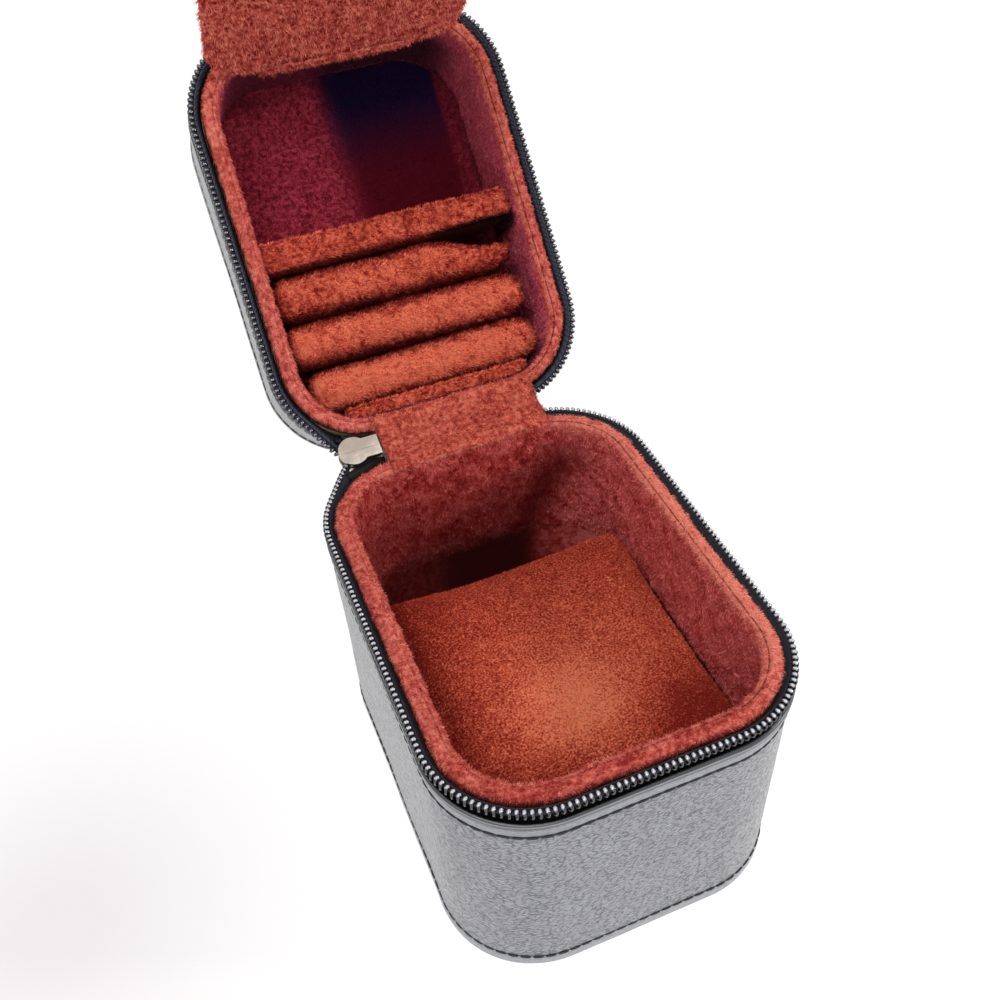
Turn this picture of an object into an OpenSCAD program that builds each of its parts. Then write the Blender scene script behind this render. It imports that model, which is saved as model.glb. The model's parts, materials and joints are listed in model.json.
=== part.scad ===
// Zip-round travel case for one watch and a few rings, open as on a table.
// Origin: centre of the base's underside. +Z up, -Y front, +Y hinge side.
// Every half is drawn with the zip line at height 0 and its depth below it;
// the base is raised to its place, the lid is turned over and opened.

/* [Case] */
// Width of the closed case, left to right
case_w = 82; // [70:0.5:100]
// Length of the closed case, front to hinge
case_d = 108.4; // [95:0.2:130]
// Outside radius of the four upright corners
corner_r = 23; // [16:0.5:30]
// Depth of the base, from the table to the zip line
base_h = 66.5; // [50:0.5:90]
// Depth of the lid, from the zip line to its outer face
lid_h = 30; // [24:0.5:45]

/* [Wall layers] */
// Thickness of the outer leather
leather_t = 1.2; // [0.8:0.1:1.6]
// Thickness of the stiffening board
board_t = 1.4; // [1:0.1:2]
// Thickness of the suede lining
lining_t = 0.8; // [0.5:0.1:1.2]
// Whole thickness of the padded wall
wall_t = 6.6; // [5.6:0.1:8]
// Radius of the leather where it turns under
edge_r = 1; // [0.6:0.1:1.1]

/* [Turned edge and rim collar] */
// Height of zip tape that shows above the leather
tape_reveal = 4; // [3.4:0.1:6]
// Height of the folded leather band below the tape
band_h = 2; // [1.4:0.1:3]
// How far the folded band stands proud of the wall
band_bulge = 0.2; // [0.1:0.05:0.3]
// Height of the thinned leather that the tape is sewn to
tape_lap = 5.5; // [4:0.1:8]
// Width of the padded collar round the opening
collar_w = 4; // [3:0.1:4.6]
// Height of the padded collar
collar_h = 8.2; // [6:0.1:11]
// Rounding of the collar's top edges
collar_r = 1.5; // [1:0.1:1.9]
// Clearance from the zip line to a collar
collar_gap = 0.3; // [0.2:0.05:0.6]

/* [Zip] */
// Thickness of the zip tape
tape_t = 0.5; // [0.3:0.1:0.6]
// Depth of the outer leather skin over the tape
tape_inset = 0.6; // [0.5:0.05:0.7]
// Distance from tooth to tooth along one row
tooth_pitch = 1.45; // [1.2:0.05:2]
// Thickness of a tooth along the row
tooth_w = 0.6; // [0.4:0.05:0.8]
// Height of a tooth
tooth_h = 2.4; // [1.8:0.1:3]
// Depth of a tooth, through the tape
tooth_d = 1.9; // [1.5:0.1:2.4]
// Clearance from the zip line to a row of teeth
row_gap = 0.15; // [0.1:0.05:0.3]
// Distance from the middle to the teeth's left end
zip_left_x = 31.2; // [28:0.1:34]
// Distance from the middle to the teeth's right end
zip_right_x = 24; // [20:0.1:28]
// How far the row swings out where it enters the slider
row_lift = 2.6; // [1:0.1:3]
// Length of row that swings out
lift_run = 9; // [6:0.5:12]

/* [Hinge] */
// Opening angle of the lid as it stands
open_angle = 132.2; // [100:0.2:140]
// Distance of the hinge line behind the back wall
hinge_out = 2.1; // [1.8:0.1:2.6]
// Distance of the hinge line below the zip line
hinge_drop = 0.74; // [0.4:0.02:1]
// Width of the suede strip across the hinge
strip_w = 42.5; // [34:0.5:44]
// Offset of the suede strip to the right
strip_x = 1.75; // [1:0.25:3]
// Thickness of the suede strip
strip_t = 0.8; // [0.5:0.1:1]
// Thickness of the leather hinge panel outside
panel_t = 1; // [0.8:0.1:1.2]
// Length of the panel that is sewn on each wall
panel_lap = 9; // [6:0.5:12]

/* [Slider] */
// Length of the slider
slider_l = 10.6; // [9:0.1:11]
// Width of the slider at its shoulders
slider_w = 7.6; // [7:0.1:7.8]
// Width of the slider at its tail
slider_tail_w = 5.4; // [4.6:0.1:6]
// Thickness of each slider plate
slider_plate_t = 0.8; // [0.6:0.1:1]
// Clear gap between the two plates
slider_gap = 2.3; // [2:0.1:2.6]
// Clearance from the last teeth to the slider
slider_clear = 0.3; // [0.2:0.1:0.6]
// Distance of the slider's middle outside the back wall
slider_out = 1; // [0.6:0.1:1.4]
// Width of the bridge that carries the pull tab
bridge_w = 1.8; // [1.4:0.1:2]
// Clear height under the bridge
bridge_clear = 1.7; // [1.6:0.1:2]
// Thickness of the bridge
bridge_t = 0.7; // [0.5:0.1:0.9]
// Height of the flanges that fold in from each plate
flange_h = 0.6; // [0.4:0.1:0.8]

/* [Pull tab] */
// Length of the pull tab
tab_l = 22; // [16:0.5:26]
// Width of the pull tab
tab_w = 4.4; // [4:0.1:4.6]
// Thickness of the pull tab
tab_t = 1; // [0.8:0.1:1]

/* [Watch cushion] */
// Length of the cushion, front to back
cushion_d = 77; // [60:0.5:80]
// Height of the cushion's crown above its underside
cushion_h = 38.3; // [30:0.1:46]
// Rise of the crown above the cushion's top edge
cushion_crown = 3; // [1:0.1:5]
// Rounding of the cushion's edges
cushion_edge = 4; // [2.5:0.1:6]
// Radius of the cushion's back corners
cushion_back_r = 12; // [6:0.5:15]
// How far each side is drawn in between its corners
cushion_pinch = 1; // [0.2:0.1:2]
// Clearance round the cushion
cushion_gap = 0.8; // [0.5:0.1:1.2]
// Clearance under the cushion
cushion_lift = 0.3; // [0.2:0.05:0.5]

/* [Ring tray in the lid] */
// Thickness of the covered divider
divider_t = 7; // [5:0.1:9]
// Distance of the divider's middle from the lining of the hinge wall
divider_y = 45.6; // [44.8:0.1:48]
// Gap between the divider and the first roll
divider_gap = 1.2; // [0.4:0.1:1.6]
// Thickness of the divider's suede cover
divider_cover_t = 1; // [0.6:0.1:1.4]
// Depth of the divider's free edge inside the lid
divider_drop = 3.6; // [3.2:0.1:5]
// Distance from roll to roll
roll_pitch = 12.5; // [11:0.1:13]
// Gap between two rolls
roll_gap = 0.4; // [0.3:0.05:0.8]
// Depth of the rolls' tops inside the lid
roll_drop = 3.4; // [3.1:0.1:5]
// Rounding of the rolls' closed ends
roll_end = 3; // [2:0.1:5]
// Thickness of the suede round a roll
roll_cover_t = 0.8; // [0.5:0.1:1.2]
// Clearance from the rolls, ridge and divider to the lining
tray_gap = 0.3; // [0.2:0.05:0.6]

/* [Flap] */
// Width of the flap
flap_w = 66; // [50:0.5:67]
// Length of the flap from its hinge edge
flap_l = 86; // [60:0.5:88]
// Thickness of the covered flap
flap_t = 2; // [1.6:0.1:2.4]
// Thickness of the flap's suede cover
flap_cover_t = 0.5; // [0.3:0.1:0.6]
// Radius of the flap's corners
flap_r = 10.4; // [6:0.1:14]
// Offset of the flap to the left
flap_x = 0.8; // [0:0.1:1]
// Opening angle of the flap as it stands
flap_angle = 104.6; // [90:0.2:115]
// Distance of the flap's hinge edge from the front wall's lining
flap_root = 3.5; // [2.5:0.1:5]
// Depth of the flap's outer face inside the lid
flap_drop = 0.6; // [0.4:0.05:0.9]
// Width of the fabric strip that hinges the flap
flap_strip_w = 37.5; // [30:0.5:44]
// Length of the strip that is glued down the front wall
flap_strip_l = 15; // [8:0.5:20]

/* [Hidden] */
$fn = 96;
FINE = 32;
SLIT = 0.05;

black_leather = [0.13, 0.13, 0.14];
black_tape = [0.06, 0.06, 0.08];
grey_board = [0.55, 0.52, 0.47];
foam_yellow = [0.86, 0.82, 0.66];
red_suede = [0.66, 0.24, 0.16];
dark_suede = [0.5, 0.15, 0.1];
silver = [0.75, 0.75, 0.77];

// Straight lengths and places along the outline
side_run = case_d - 2 * corner_r;
end_run = case_w - 2 * corner_r;
wall_y = case_d / 2;
lining_inset = wall_t - lining_t;
inner_w = case_w - 2 * wall_t;
inner_d = case_d - 2 * wall_t;
inner_r = corner_r - wall_t;
collar_out = wall_t - collar_w;
floor_t = leather_t + board_t + lining_t;
hinge_y = wall_y + hinge_out;
hinge_z = base_h - hinge_drop;

// ---------- outlines and sweeps ----------

// Flat rounded rectangle of true arcs
module round_plate(w, d, r) {
    square([w - 2 * r, d], center = true);
    square([w, d - 2 * r], center = true);
    for (x = [-1, 1], y = [-1, 1])
        translate([x * (w / 2 - r), y * (d / 2 - r)]) circle(r = r);
}

// The case's outline, drawn in by an inset
module case_plate(inset) {
    round_plate(case_w - 2 * inset, case_d - 2 * inset, corner_r - inset);
}

// Upright ring that follows the outline between two insets
module case_ring(outer, inner, z, h) {
    translate([0, 0, z])
        linear_extrude(h)
            difference() {
                case_plate(outer);
                case_plate(inner);
            }
}

// Carries a flat profile round the outline; x = 0 is the outer face
module around_case() {
    for (side = [0, 1])
        rotate([0, 0, 180 * side]) {
            translate([case_w / 2, 0, 0])
                rotate([90, 0, 0]) linear_extrude(side_run, center = true) children();
            rotate([0, 0, 90])
                translate([case_d / 2, 0, 0])
                    rotate([90, 0, 0]) linear_extrude(end_run, center = true) children();
            for (side_corner = [0, 1])
                mirror([0, side_corner, 0])
                    translate([end_run / 2, side_run / 2, 0])
                        rotate_extrude(angle = 90) translate([corner_r, 0]) children();
        }
}

// ---------- one half of the case: zip line at 0, depth below ----------

// Leather wall: turned under at its foot, folded to a thin band at its edge
module half_wall_leather(depth) {
    color(black_leather)
        around_case() {
            translate([-leather_t, edge_r - depth])
                square([leather_t, depth - edge_r - tape_reveal - tape_lap]);
            intersection() {
                translate([-edge_r, edge_r - depth]) circle(r = edge_r, $fn = FINE);
                translate([-edge_r, -depth]) square([edge_r, 2 * edge_r]);
            }
            translate([-leather_t, -depth]) square([leather_t - edge_r, 2 * edge_r]);
            translate([-tape_inset, -tape_reveal - tape_lap])
                square([tape_inset, tape_lap]);
            translate([-tape_inset, -tape_reveal - band_h])
                square([tape_inset + band_bulge, band_h]);
        }
}

// Leather over the large outer face
module half_panel_leather(depth) {
    color(black_leather)
        translate([0, 0, -depth])
            linear_extrude(leather_t) case_plate(leather_t + SLIT);
}

module half_wall_board(depth) {
    color(grey_board)
        case_ring(leather_t, leather_t + board_t, leather_t - depth,
            depth - leather_t - tape_reveal - tape_lap);
}

module half_panel_board(depth) {
    color(grey_board)
        translate([0, 0, leather_t - depth])
            linear_extrude(board_t) case_plate(leather_t + board_t + SLIT);
}

// Foam between board and lining, with the bead that fills the collar
module half_wall_foam(depth) {
    color(foam_yellow) {
        case_ring(collar_out, lining_inset, leather_t + board_t - depth,
            depth - leather_t - board_t - collar_gap - collar_h);
        case_ring(collar_out + lining_t + SLIT, lining_inset - SLIT, -collar_gap - collar_h,
            collar_h - lining_t - collar_r / 2);
    }
}

module half_panel_lining(depth) {
    color(dark_suede)
        translate([0, 0, leather_t + board_t - depth])
            linear_extrude(lining_t) case_plate(lining_inset + SLIT);
}

module half_wall_lining(depth) {
    color(dark_suede)
        case_ring(lining_inset, wall_t, floor_t - depth,
            depth - floor_t - collar_gap - collar_h);
}

// Padded collar: a suede skin with a rounded top over the foam bead
module half_rim_collar() {
    color(red_suede)
        around_case()
            translate([-wall_t, -collar_gap - collar_h])
                difference() {
                    collar_section(collar_w, collar_h, collar_r);
                    translate([lining_t, -lining_t])
                        collar_section(collar_w - 2 * lining_t, collar_h, collar_r - lining_t / 2);
                }
}

// Upright strip with two rounded top corners
module collar_section(w, h, r) {
    square([w, h - r]);
    translate([r, 0]) square([w - 2 * r, h]);
    for (x = [r, w - r])
        translate([x, h - r]) circle(r = r, $fn = FINE);
}

// Zip tape, cut away where the slider sits and where the hinge passes
module half_zip_tape() {
    tape_top = -row_gap - tooth_h / 2;
    slot_x = -zip_left_x - slider_clear;
    color(black_tape)
        difference() {
            case_ring(tape_inset, tape_inset + tape_t, -tape_reveal - tape_lap,
                tape_reveal + tape_lap + tape_top);
            translate([slot_x, wall_y - corner_r, -tape_reveal])
                cube([strip_x + strip_w / 2 - slot_x, 2 * corner_r, tape_reveal]);
        }
}

// Place and heading at distance s along the outline, from the back's middle to the left
function quarter(r) = PI * r / 2;
function path_length() = 2 * (end_run + side_run) + 4 * quarter(corner_r);
function outline_at(s) =
    let (
        a = end_run / 2,
        q = quarter(corner_r),
        s1 = a + q,
        s2 = s1 + side_run,
        s3 = s2 + q,
        s4 = s3 + end_run,
        s5 = s4 + q,
        s6 = s5 + side_run,
        s7 = s6 + q
    )
    s < a ? [-s, wall_y, 90] :
    s < s1 ? corner_at(-a, side_run / 2, 90 + 90 * (s - a) / q) :
    s < s2 ? [-case_w / 2, side_run / 2 - (s - s1), 180] :
    s < s3 ? corner_at(-a, -side_run / 2, 180 + 90 * (s - s2) / q) :
    s < s4 ? [-a + (s - s3), -wall_y, 270] :
    s < s5 ? corner_at(a, -side_run / 2, 270 + 90 * (s - s4) / q) :
    s < s6 ? [case_w / 2, -side_run / 2 + (s - s5), 360] :
    s < s7 ? corner_at(a, side_run / 2, 360 + 90 * (s - s6) / q) :
    [a - (s - s7), wall_y, 90];
function corner_at(x, y, heading) =
    [x + corner_r * cos(heading), y + corner_r * sin(heading), heading];
function corner_distance(x) =
    end_run / 2 + corner_r * asin((x - end_run / 2) / corner_r) * PI / 180;
zip_start = corner_distance(zip_left_x);
zip_end = path_length() - corner_distance(zip_right_x);
tooth_count = floor((zip_end - zip_start) / tooth_pitch);

// One coil tooth: an upright loop with a round head, slotted over the tape's edge;
// lift is how far it has swung out from the tape
module coil_tooth(lift) {
    rotate([90, 0, 0])
        linear_extrude(tooth_w, center = true)
            difference() {
                union() {
                    translate([-tooth_d / 2, -row_gap - tooth_h])
                        square([tooth_d, tooth_h - tooth_d / 2]);
                    translate([0, -row_gap - tooth_d / 2]) circle(d = tooth_d, $fn = 16);
                }
                if (lift < tooth_d / 2)
                    translate([-lift - tape_t - SLIT, -row_gap - tooth_h - 1])
                        square([tape_t + 2 * SLIT, tooth_h / 2 + 1 + SLIT]);
            }
}

// A row of teeth round the zip; shift sets it half a pitch from its partner
module half_zip_coil(shift) {
    color(black_tape)
        for (i = [0 : tooth_count - 1]) {
            s = zip_start + (i + shift) * tooth_pitch;
            near = max(0, 1 - (s - zip_start) / lift_run);
            lift = row_lift * near * near;
            p = outline_at(s);
            translate([p[0], p[1], 0])
                rotate([0, 0, p[2]])
                    translate([lift - tape_inset, 0, 0]) coil_tooth(lift);
        }
}

// ---------- placing ----------

module in_base() {
    translate([0, 0, base_h]) children();
}

// Turns a half over and opens it about the hinge line
module in_lid() {
    translate([0, hinge_y, hinge_z])
        rotate([-open_angle, 0, 0])
            translate([0, -hinge_y, -hinge_z])
                translate([0, 0, base_h]) mirror([0, 0, 1]) children();
}

// Turns a piece of the zip's slider half as far as the lid
module in_slider() {
    translate([0, hinge_y, hinge_z])
        rotate([-open_angle / 2, 0, 0])
            translate([slider_x, slider_y - hinge_y, base_h - hinge_z]) children();
}

// ---------- base ----------

module base_bottom_leather() { in_base() half_panel_leather(base_h); }
module base_wall_leather() { in_base() half_wall_leather(base_h); }
module base_floor_board() { in_base() half_panel_board(base_h); }
module base_wall_board() { in_base() half_wall_board(base_h); }
module base_wall_foam() { in_base() half_wall_foam(base_h); }
module base_floor_lining() { in_base() half_panel_lining(base_h); }
module base_wall_lining() { in_base() half_wall_lining(base_h); }
module base_rim_collar() { in_base() half_rim_collar(); }
module base_zip_tape() { in_base() half_zip_tape(); }
module base_zip_coil() { in_base() half_zip_coil(0); }

// ---------- hinge strips, shaped as the open lid leaves them ----------

// Lid point (y, height above the zip line) in the open pose, as [y, z]
function opened(y, z) =
    let (
        qy = y - hinge_y,
        qz = z + hinge_drop
    )
    [hinge_y + qy * cos(open_angle) + qz * sin(open_angle),
     hinge_z - qy * sin(open_angle) + qz * cos(open_angle)];
function bend(a, b, c, d, t) =
    a * pow(1 - t, 3) + 3 * b * t * pow(1 - t, 2) + 3 * c * t * t * (1 - t) + d * pow(t, 3);
function unit(v) = v / norm(v);
function left_of(v) = [-v[1], v[0]];
// Band of even thickness on the left of a row of points
function band_points(line, t) =
    let (n = len(line))
    concat(line, [for (i = [n - 1 : -1 : 0])
        line[i] + t * left_of(unit(line[min(i + 1, n - 1)] - line[max(i - 1, 0)]))]);

STRIP_STEPS = 10;
strip_seat = 0.1;
strip_lid_seat = 0.3;
strip_inner_y = wall_y - wall_t;
strip_base_end = [strip_inner_y, base_h - collar_gap + strip_seat];
strip_base_edge = [wall_y - collar_out - collar_r / 2, base_h - collar_gap + strip_seat];
strip_lid_edge = opened(wall_y - collar_out - collar_r / 2, collar_gap - strip_lid_seat);
strip_lid_end = opened(strip_inner_y, collar_gap - strip_lid_seat);
strip_pull = 2.6;
strip_line = concat([strip_base_end], [for (i = [0 : STRIP_STEPS])
    bend(strip_base_edge, strip_base_edge + [strip_pull, 0],
        strip_lid_edge + strip_pull * unit(strip_lid_edge - strip_lid_end),
        strip_lid_edge, i / STRIP_STEPS)], [strip_lid_end]);

module hinge_lining_strip() {
    color(red_suede)
        translate([strip_x, 0, 0])
            rotate([90, 0, 90])
                linear_extrude(strip_w, center = true) polygon(band_points(strip_line, strip_t));
}

panel_seat = 0.05;
panel_lid_seat = 0.3;
panel_base_end = [wall_y + band_bulge + panel_seat, base_h - tape_reveal - panel_lap];
panel_base_edge = [wall_y + band_bulge + panel_seat, base_h - tape_reveal];
panel_lid_edge = opened(wall_y + band_bulge + panel_lid_seat, tape_reveal);
panel_lid_end = opened(wall_y + band_bulge + panel_lid_seat, tape_reveal + panel_lap);
panel_pull = 3.4;
panel_line = concat([panel_lid_end], [for (i = [0 : STRIP_STEPS])
    bend(panel_lid_edge, panel_lid_edge + panel_pull * unit(panel_lid_edge - panel_lid_end),
        panel_base_edge + [0, panel_pull],
        panel_base_edge, i / STRIP_STEPS)], [panel_base_end]);

module hinge_leather_panel() {
    color(black_leather)
        translate([strip_x, 0, 0])
            rotate([90, 0, 90])
                linear_extrude(strip_w, center = true) polygon(band_points(panel_line, panel_t));
}

// ---------- watch cushion ----------

CORNER_STEPS = 5;
SIDE_STEPS = 4;
// Radii made smaller, down to a millimetre
function drawn_in(radii, by) = [for (r = radii) max(r - by, 1)];
// Points round a rounded rectangle, [back, front] radii, whose sides are drawn in between the corners
function soft_outline(w, d, radii, pinch) = [
    for (k = [0 : 3])
        let (
            sx = k == 0 || k == 3 ? 1 : -1,
            sy = k < 2 ? 1 : -1,
            r = k < 2 ? radii[0] : radii[1],
            next_r = k == 0 || k == 3 ? radii[0] : radii[1],
            run = (k % 2 == 0 ? w : d) - r - next_r,
            cx = sx * (w / 2 - r),
            cy = sy * (d / 2 - r),
            out = [cos(90 * k + 90), sin(90 * k + 90)],
            along = [-out[1], out[0]]
        )
        each concat(
            [for (i = [0 : CORNER_STEPS])
                [cx + r * cos(90 * (k + i / CORNER_STEPS)), cy + r * sin(90 * (k + i / CORNER_STEPS))]],
            [for (i = [1 : SIDE_STEPS - 1])
                [cx, cy] + r * out + along * run * i / SIDE_STEPS
                - out * pinch * (1 - pow(2 * i / SIDE_STEPS - 1, 2))])
];
// Rings of a pad from its underside to its crown: [shrink in mm, height, pinch share]
function pad_rings(h, crown, edge) =
    let (top = h - crown)
    concat(
        [[edge * 0.7, 0, 1], [edge * 0.2, edge * 0.3, 1], [0, edge, 0.9]],
        [[0, top / 2, 0.3], [0, top - edge, 0.9]],
        [for (a = [30, 60, 85]) [edge * (1 - cos(a)), top - edge * (1 - sin(a)), 1]]);
// Closed pad: rings of the outline, closed by fans over its underside and its crown
module soft_pad(w, d, h, radii, crown, edge, pinch) {
    rings = pad_rings(h, crown, edge);
    crown_shares = [0.85, 0.6, 0.3];
    rim = rings[len(rings) - 1];
    n = len(soft_outline(w, d, radii, 0));
    side_points = [for (g = rings)
        each [for (p = soft_outline(w - 2 * g[0], d - 2 * g[0], drawn_in(radii, g[0]), pinch * g[2]))
            [p[0], p[1], g[1]]]];
    crown_points = [for (share = crown_shares)
        each [for (p = soft_outline(w - 2 * rim[0], d - 2 * rim[0], drawn_in(radii, rim[0]), pinch))
            [p[0] * share, p[1] * share, rim[1] + (h - rim[1]) * (1 - share * share)]]];
    points = concat(side_points, crown_points, [[0, 0, 0], [0, 0, h]]);
    layers = len(rings) + len(crown_shares);
    foot = n * layers;
    walls = [for (j = [0 : layers - 2], i = [0 : n - 1])
        let (
            a = j * n + i,
            b = j * n + (i + 1) % n
        )
        each [[a, a + n, b], [b, a + n, b + n]]];
    caps = [for (i = [0 : n - 1])
        let (j = (i + 1) % n, last = n * (layers - 1))
        each [[foot, i, j], [foot + 1, last + j, last + i]]];
    polyhedron(points, concat(walls, caps));
}

cushion_w = inner_w - 2 * cushion_gap;
cushion_radii = [cushion_back_r, inner_r - cushion_gap];
cushion_y = cushion_gap + cushion_d / 2 - inner_d / 2;
cushion_cover_t = 1;

module at_cushion() {
    translate([0, cushion_y, floor_t + cushion_lift]) children();
}

module watch_cushion_cover() {
    color(red_suede)
        at_cushion()
            difference() {
                soft_pad(cushion_w, cushion_d, cushion_h, cushion_radii, cushion_crown,
                    cushion_edge, cushion_pinch);
                cushion_fill(cushion_cover_t);
            }
}

// The pad's form drawn in by a skin's thickness
module cushion_fill(skin) {
    translate([0, 0, skin])
        soft_pad(cushion_w - 2 * skin, cushion_d - 2 * skin, cushion_h - 2 * skin,
            drawn_in(cushion_radii, skin), cushion_crown, cushion_edge, cushion_pinch);
}

module watch_cushion_core() {
    color(foam_yellow) at_cushion() cushion_fill(cushion_cover_t + SLIT);
}

// ---------- lid ----------

module lid_top_leather() { in_lid() half_panel_leather(lid_h); }
module lid_wall_leather() { in_lid() half_wall_leather(lid_h); }
module lid_top_board() { in_lid() half_panel_board(lid_h); }
module lid_wall_board() { in_lid() half_wall_board(lid_h); }
module lid_wall_foam() { in_lid() half_wall_foam(lid_h); }
module lid_top_lining() { in_lid() half_panel_lining(lid_h); }
module lid_wall_lining() { in_lid() half_wall_lining(lid_h); }
module lid_rim_collar() { in_lid() half_rim_collar(); }
module lid_zip_tape() { in_lid() half_zip_tape(); }
module lid_zip_coil() { in_lid() half_zip_coil(0.5); }

// ---------- ring tray ----------

tray_w = inner_w - 2 * tray_gap;
tray_floor = lid_h - floor_t - tray_gap / 2;
divider_h = tray_floor - divider_drop;
divider_at = inner_d / 2 - divider_y;

// Bar across the lid, standing on its lining, with a rounded free edge
module tray_bar(w, t, h) {
    rotate([90, 0, 90])
        linear_extrude(w, center = true) {
            translate([-t / 2, 0]) square([t, h - t / 4]);
            translate([-t / 4, 0]) square([t / 2, h]);
            for (y = [-1, 1])
                translate([y * t / 4, h - t / 4]) circle(r = t / 4, $fn = FINE);
        }
}

module divider_cover() {
    color(red_suede)
        in_lid()
            translate([0, divider_at, -tray_floor])
                difference() {
                    tray_bar(tray_w, divider_t, divider_h);
                    translate([0, 0, divider_cover_t]) divider_fill(divider_cover_t);
                }
}

module divider_fill(skin) {
    tray_bar(tray_w - 2 * skin, divider_t - 2 * skin, divider_h - 2 * skin);
}

module divider_board() {
    color(grey_board)
        in_lid()
            translate([0, divider_at, SLIT + divider_cover_t - tray_floor])
                divider_fill(divider_cover_t + SLIT);
}

roll_w = roll_pitch - roll_gap;
roll_h = tray_floor - roll_drop;
rolls_y = divider_at + divider_t / 2 + divider_gap;
RIB_STEPS = 16;
// Cross-section of a roll: flat foot, round top
function roll_section(w, h) = concat(
    [[w / 2, 0]],
    [for (i = [0 : RIB_STEPS])
        [w / 2 * cos(180 * i / RIB_STEPS), h - w / 2 + w / 2 * sin(180 * i / RIB_STEPS)]],
    [[-w / 2, 0]]);
// A stuffed roll along X whose ends are drawn in
module stuffed_roll(l, w, h, end_r) {
    stations = [for (a = [0 : 30 : 90]) [l / 2 - end_r * (1 - sin(a)), end_r * (1 - cos(a))]];
    section_n = RIB_STEPS + 3;
    halves = concat([for (i = [3 : -1 : 0]) [-1, stations[i]]], [for (s = stations) [1, s]]);
    points = [for (g = halves)
        let (x = g[0] * g[1][0], shrink = g[1][1])
        each [for (p = roll_section(w - 0.5 * shrink, h - 0.4 * shrink)) [x, p[0], p[1]]]];
    count = len(halves);
    walls = [for (j = [0 : count - 2], i = [0 : section_n - 1])
        let (
            a = j * section_n + i,
            b = j * section_n + (i + 1) % section_n
        )
        each [[a, a + section_n, b], [b, a + section_n, b + section_n]]];
    ends = [[for (i = [0 : section_n - 1]) i],
        [for (i = [section_n - 1 : -1 : 0]) (count - 1) * section_n + i]];
    polyhedron(points, concat(walls, ends));
}
// Widths of the tray where each roll ends short of the rounded corners
function tray_width_at(y) =
    let (over = max(0, abs(y) - side_run / 2))
    2 * (end_run / 2 + sqrt(pow(inner_r - tray_gap, 2) - pow(min(over, inner_r - tray_gap), 2)));
function roll_y(i) = rolls_y + roll_w / 2 + i * roll_pitch;
function roll_l(i) = min(tray_w, tray_width_at(roll_y(i) + roll_w / 2));

module at_roll(i) {
    in_lid() translate([0, roll_y(i), -tray_floor]) children();
}

module ring_roll(i) {
    color(red_suede)
        at_roll(i)
            difference() {
                stuffed_roll(roll_l(i), roll_w, roll_h, roll_end);
                roll_fill(i, roll_cover_t);
            }
}

module roll_fill(i, skin) {
    translate([0, 0, skin])
        stuffed_roll(roll_l(i) - 2 * skin, roll_w - 2 * skin, roll_h - 2 * skin, roll_end);
}

module ring_roll_1() { ring_roll(0); }
module ring_roll_2() { ring_roll(1); }
module ring_roll_3() { ring_roll(2); }
module ring_roll_cores() {
    color(foam_yellow)
        for (i = [0 : 2])
            at_roll(i) roll_fill(i, roll_cover_t + SLIT);
}

// Folded ridge of lining between the last roll and the hinge wall
ridge_y0 = roll_y(2) + roll_w / 2 + roll_gap;
ridge_t = inner_d / 2 - tray_gap - ridge_y0;
module ring_tray_ridge() {
    color(red_suede)
        in_lid()
            translate([0, ridge_y0 + ridge_t / 2, -tray_floor])
                tray_bar(tray_width_at(ridge_y0 + ridge_t), ridge_t, roll_h);
}

// ---------- flap over the tray ----------

flap_y = flap_root - inner_d / 2;

// Opens the flap about its root edge inside the lid
module in_flap() {
    in_lid()
        translate([-flap_x, flap_y, -flap_drop])
            rotate([flap_angle, 0, 0]) children();
}

module flap_slab(w, l, t, r) {
    linear_extrude(t) round_plate(w, l, r);
}

module flap_cover() {
    color(red_suede)
        in_flap()
            translate([0, flap_l / 2, -flap_t])
                difference() {
                    flap_slab(flap_w, flap_l, flap_t, flap_r);
                    translate([0, 0, flap_cover_t]) flap_fill(flap_cover_t);
                }
}

module flap_fill(skin) {
    flap_slab(flap_w - 2 * skin, flap_l - 2 * skin, flap_t - 2 * skin, flap_r - skin);
}

module flap_board() {
    color(grey_board)
        in_flap()
            translate([0, flap_l / 2, flap_cover_t + SLIT - flap_t]) flap_fill(flap_cover_t + SLIT);
}

// Fabric glued to the front wall of the lid and turned out to the flap's edge
flap_strip_gap = 0.3;
module flap_strip() {
    color(red_suede)
        in_lid()
            translate([-flap_x, -inner_d / 2, -flap_drop])
                rotate([90, 0, 90])
                    linear_extrude(flap_strip_w, center = true) {
                        translate([SLIT, -flap_strip_l]) square([strip_t, flap_strip_l]);
                        translate([SLIT, -strip_t])
                            square([flap_root - flap_strip_gap - SLIT, strip_t]);
                    }
}

// ---------- slider and pull tab: drawn flat, x along the zip, y outwards ----------

slider_x = -zip_left_x + slider_clear + slider_l / 2;
slider_y = wall_y + slider_out;
plate_y = slider_gap / 2;
bridge_l = slider_l * 0.62;
pivot_y = plate_y + slider_plate_t + bridge_clear / 2;
pin_r = 0.55;
tab_clear = 0.4;

// Outline of a slider plate: round shoulders at the left, a narrow tail at the right
module slider_outline(inset) {
    w = slider_w - 2 * inset;
    tail = slider_tail_w - 2 * inset;
    l = slider_l - 2 * inset;
    shoulder = w / 2;
    intersection() {
        union() {
            translate([shoulder - l / 2, 0]) circle(r = shoulder, $fn = 48);
            polygon([
                [shoulder - l / 2, shoulder], [l * 0.12, tail / 2], [l / 2, tail / 2],
                [l / 2, -tail / 2], [l * 0.12, -tail / 2], [shoulder - l / 2, -shoulder]
            ]);
        }
        square([l, w], center = true);
    }
}

// Plate in the plane of the zip, lying between two heights along y
module slider_plate(y0) {
    translate([0, y0 + slider_plate_t, 0])
        rotate([90, 0, 0]) linear_extrude(slider_plate_t) slider_outline(0);
}

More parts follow.
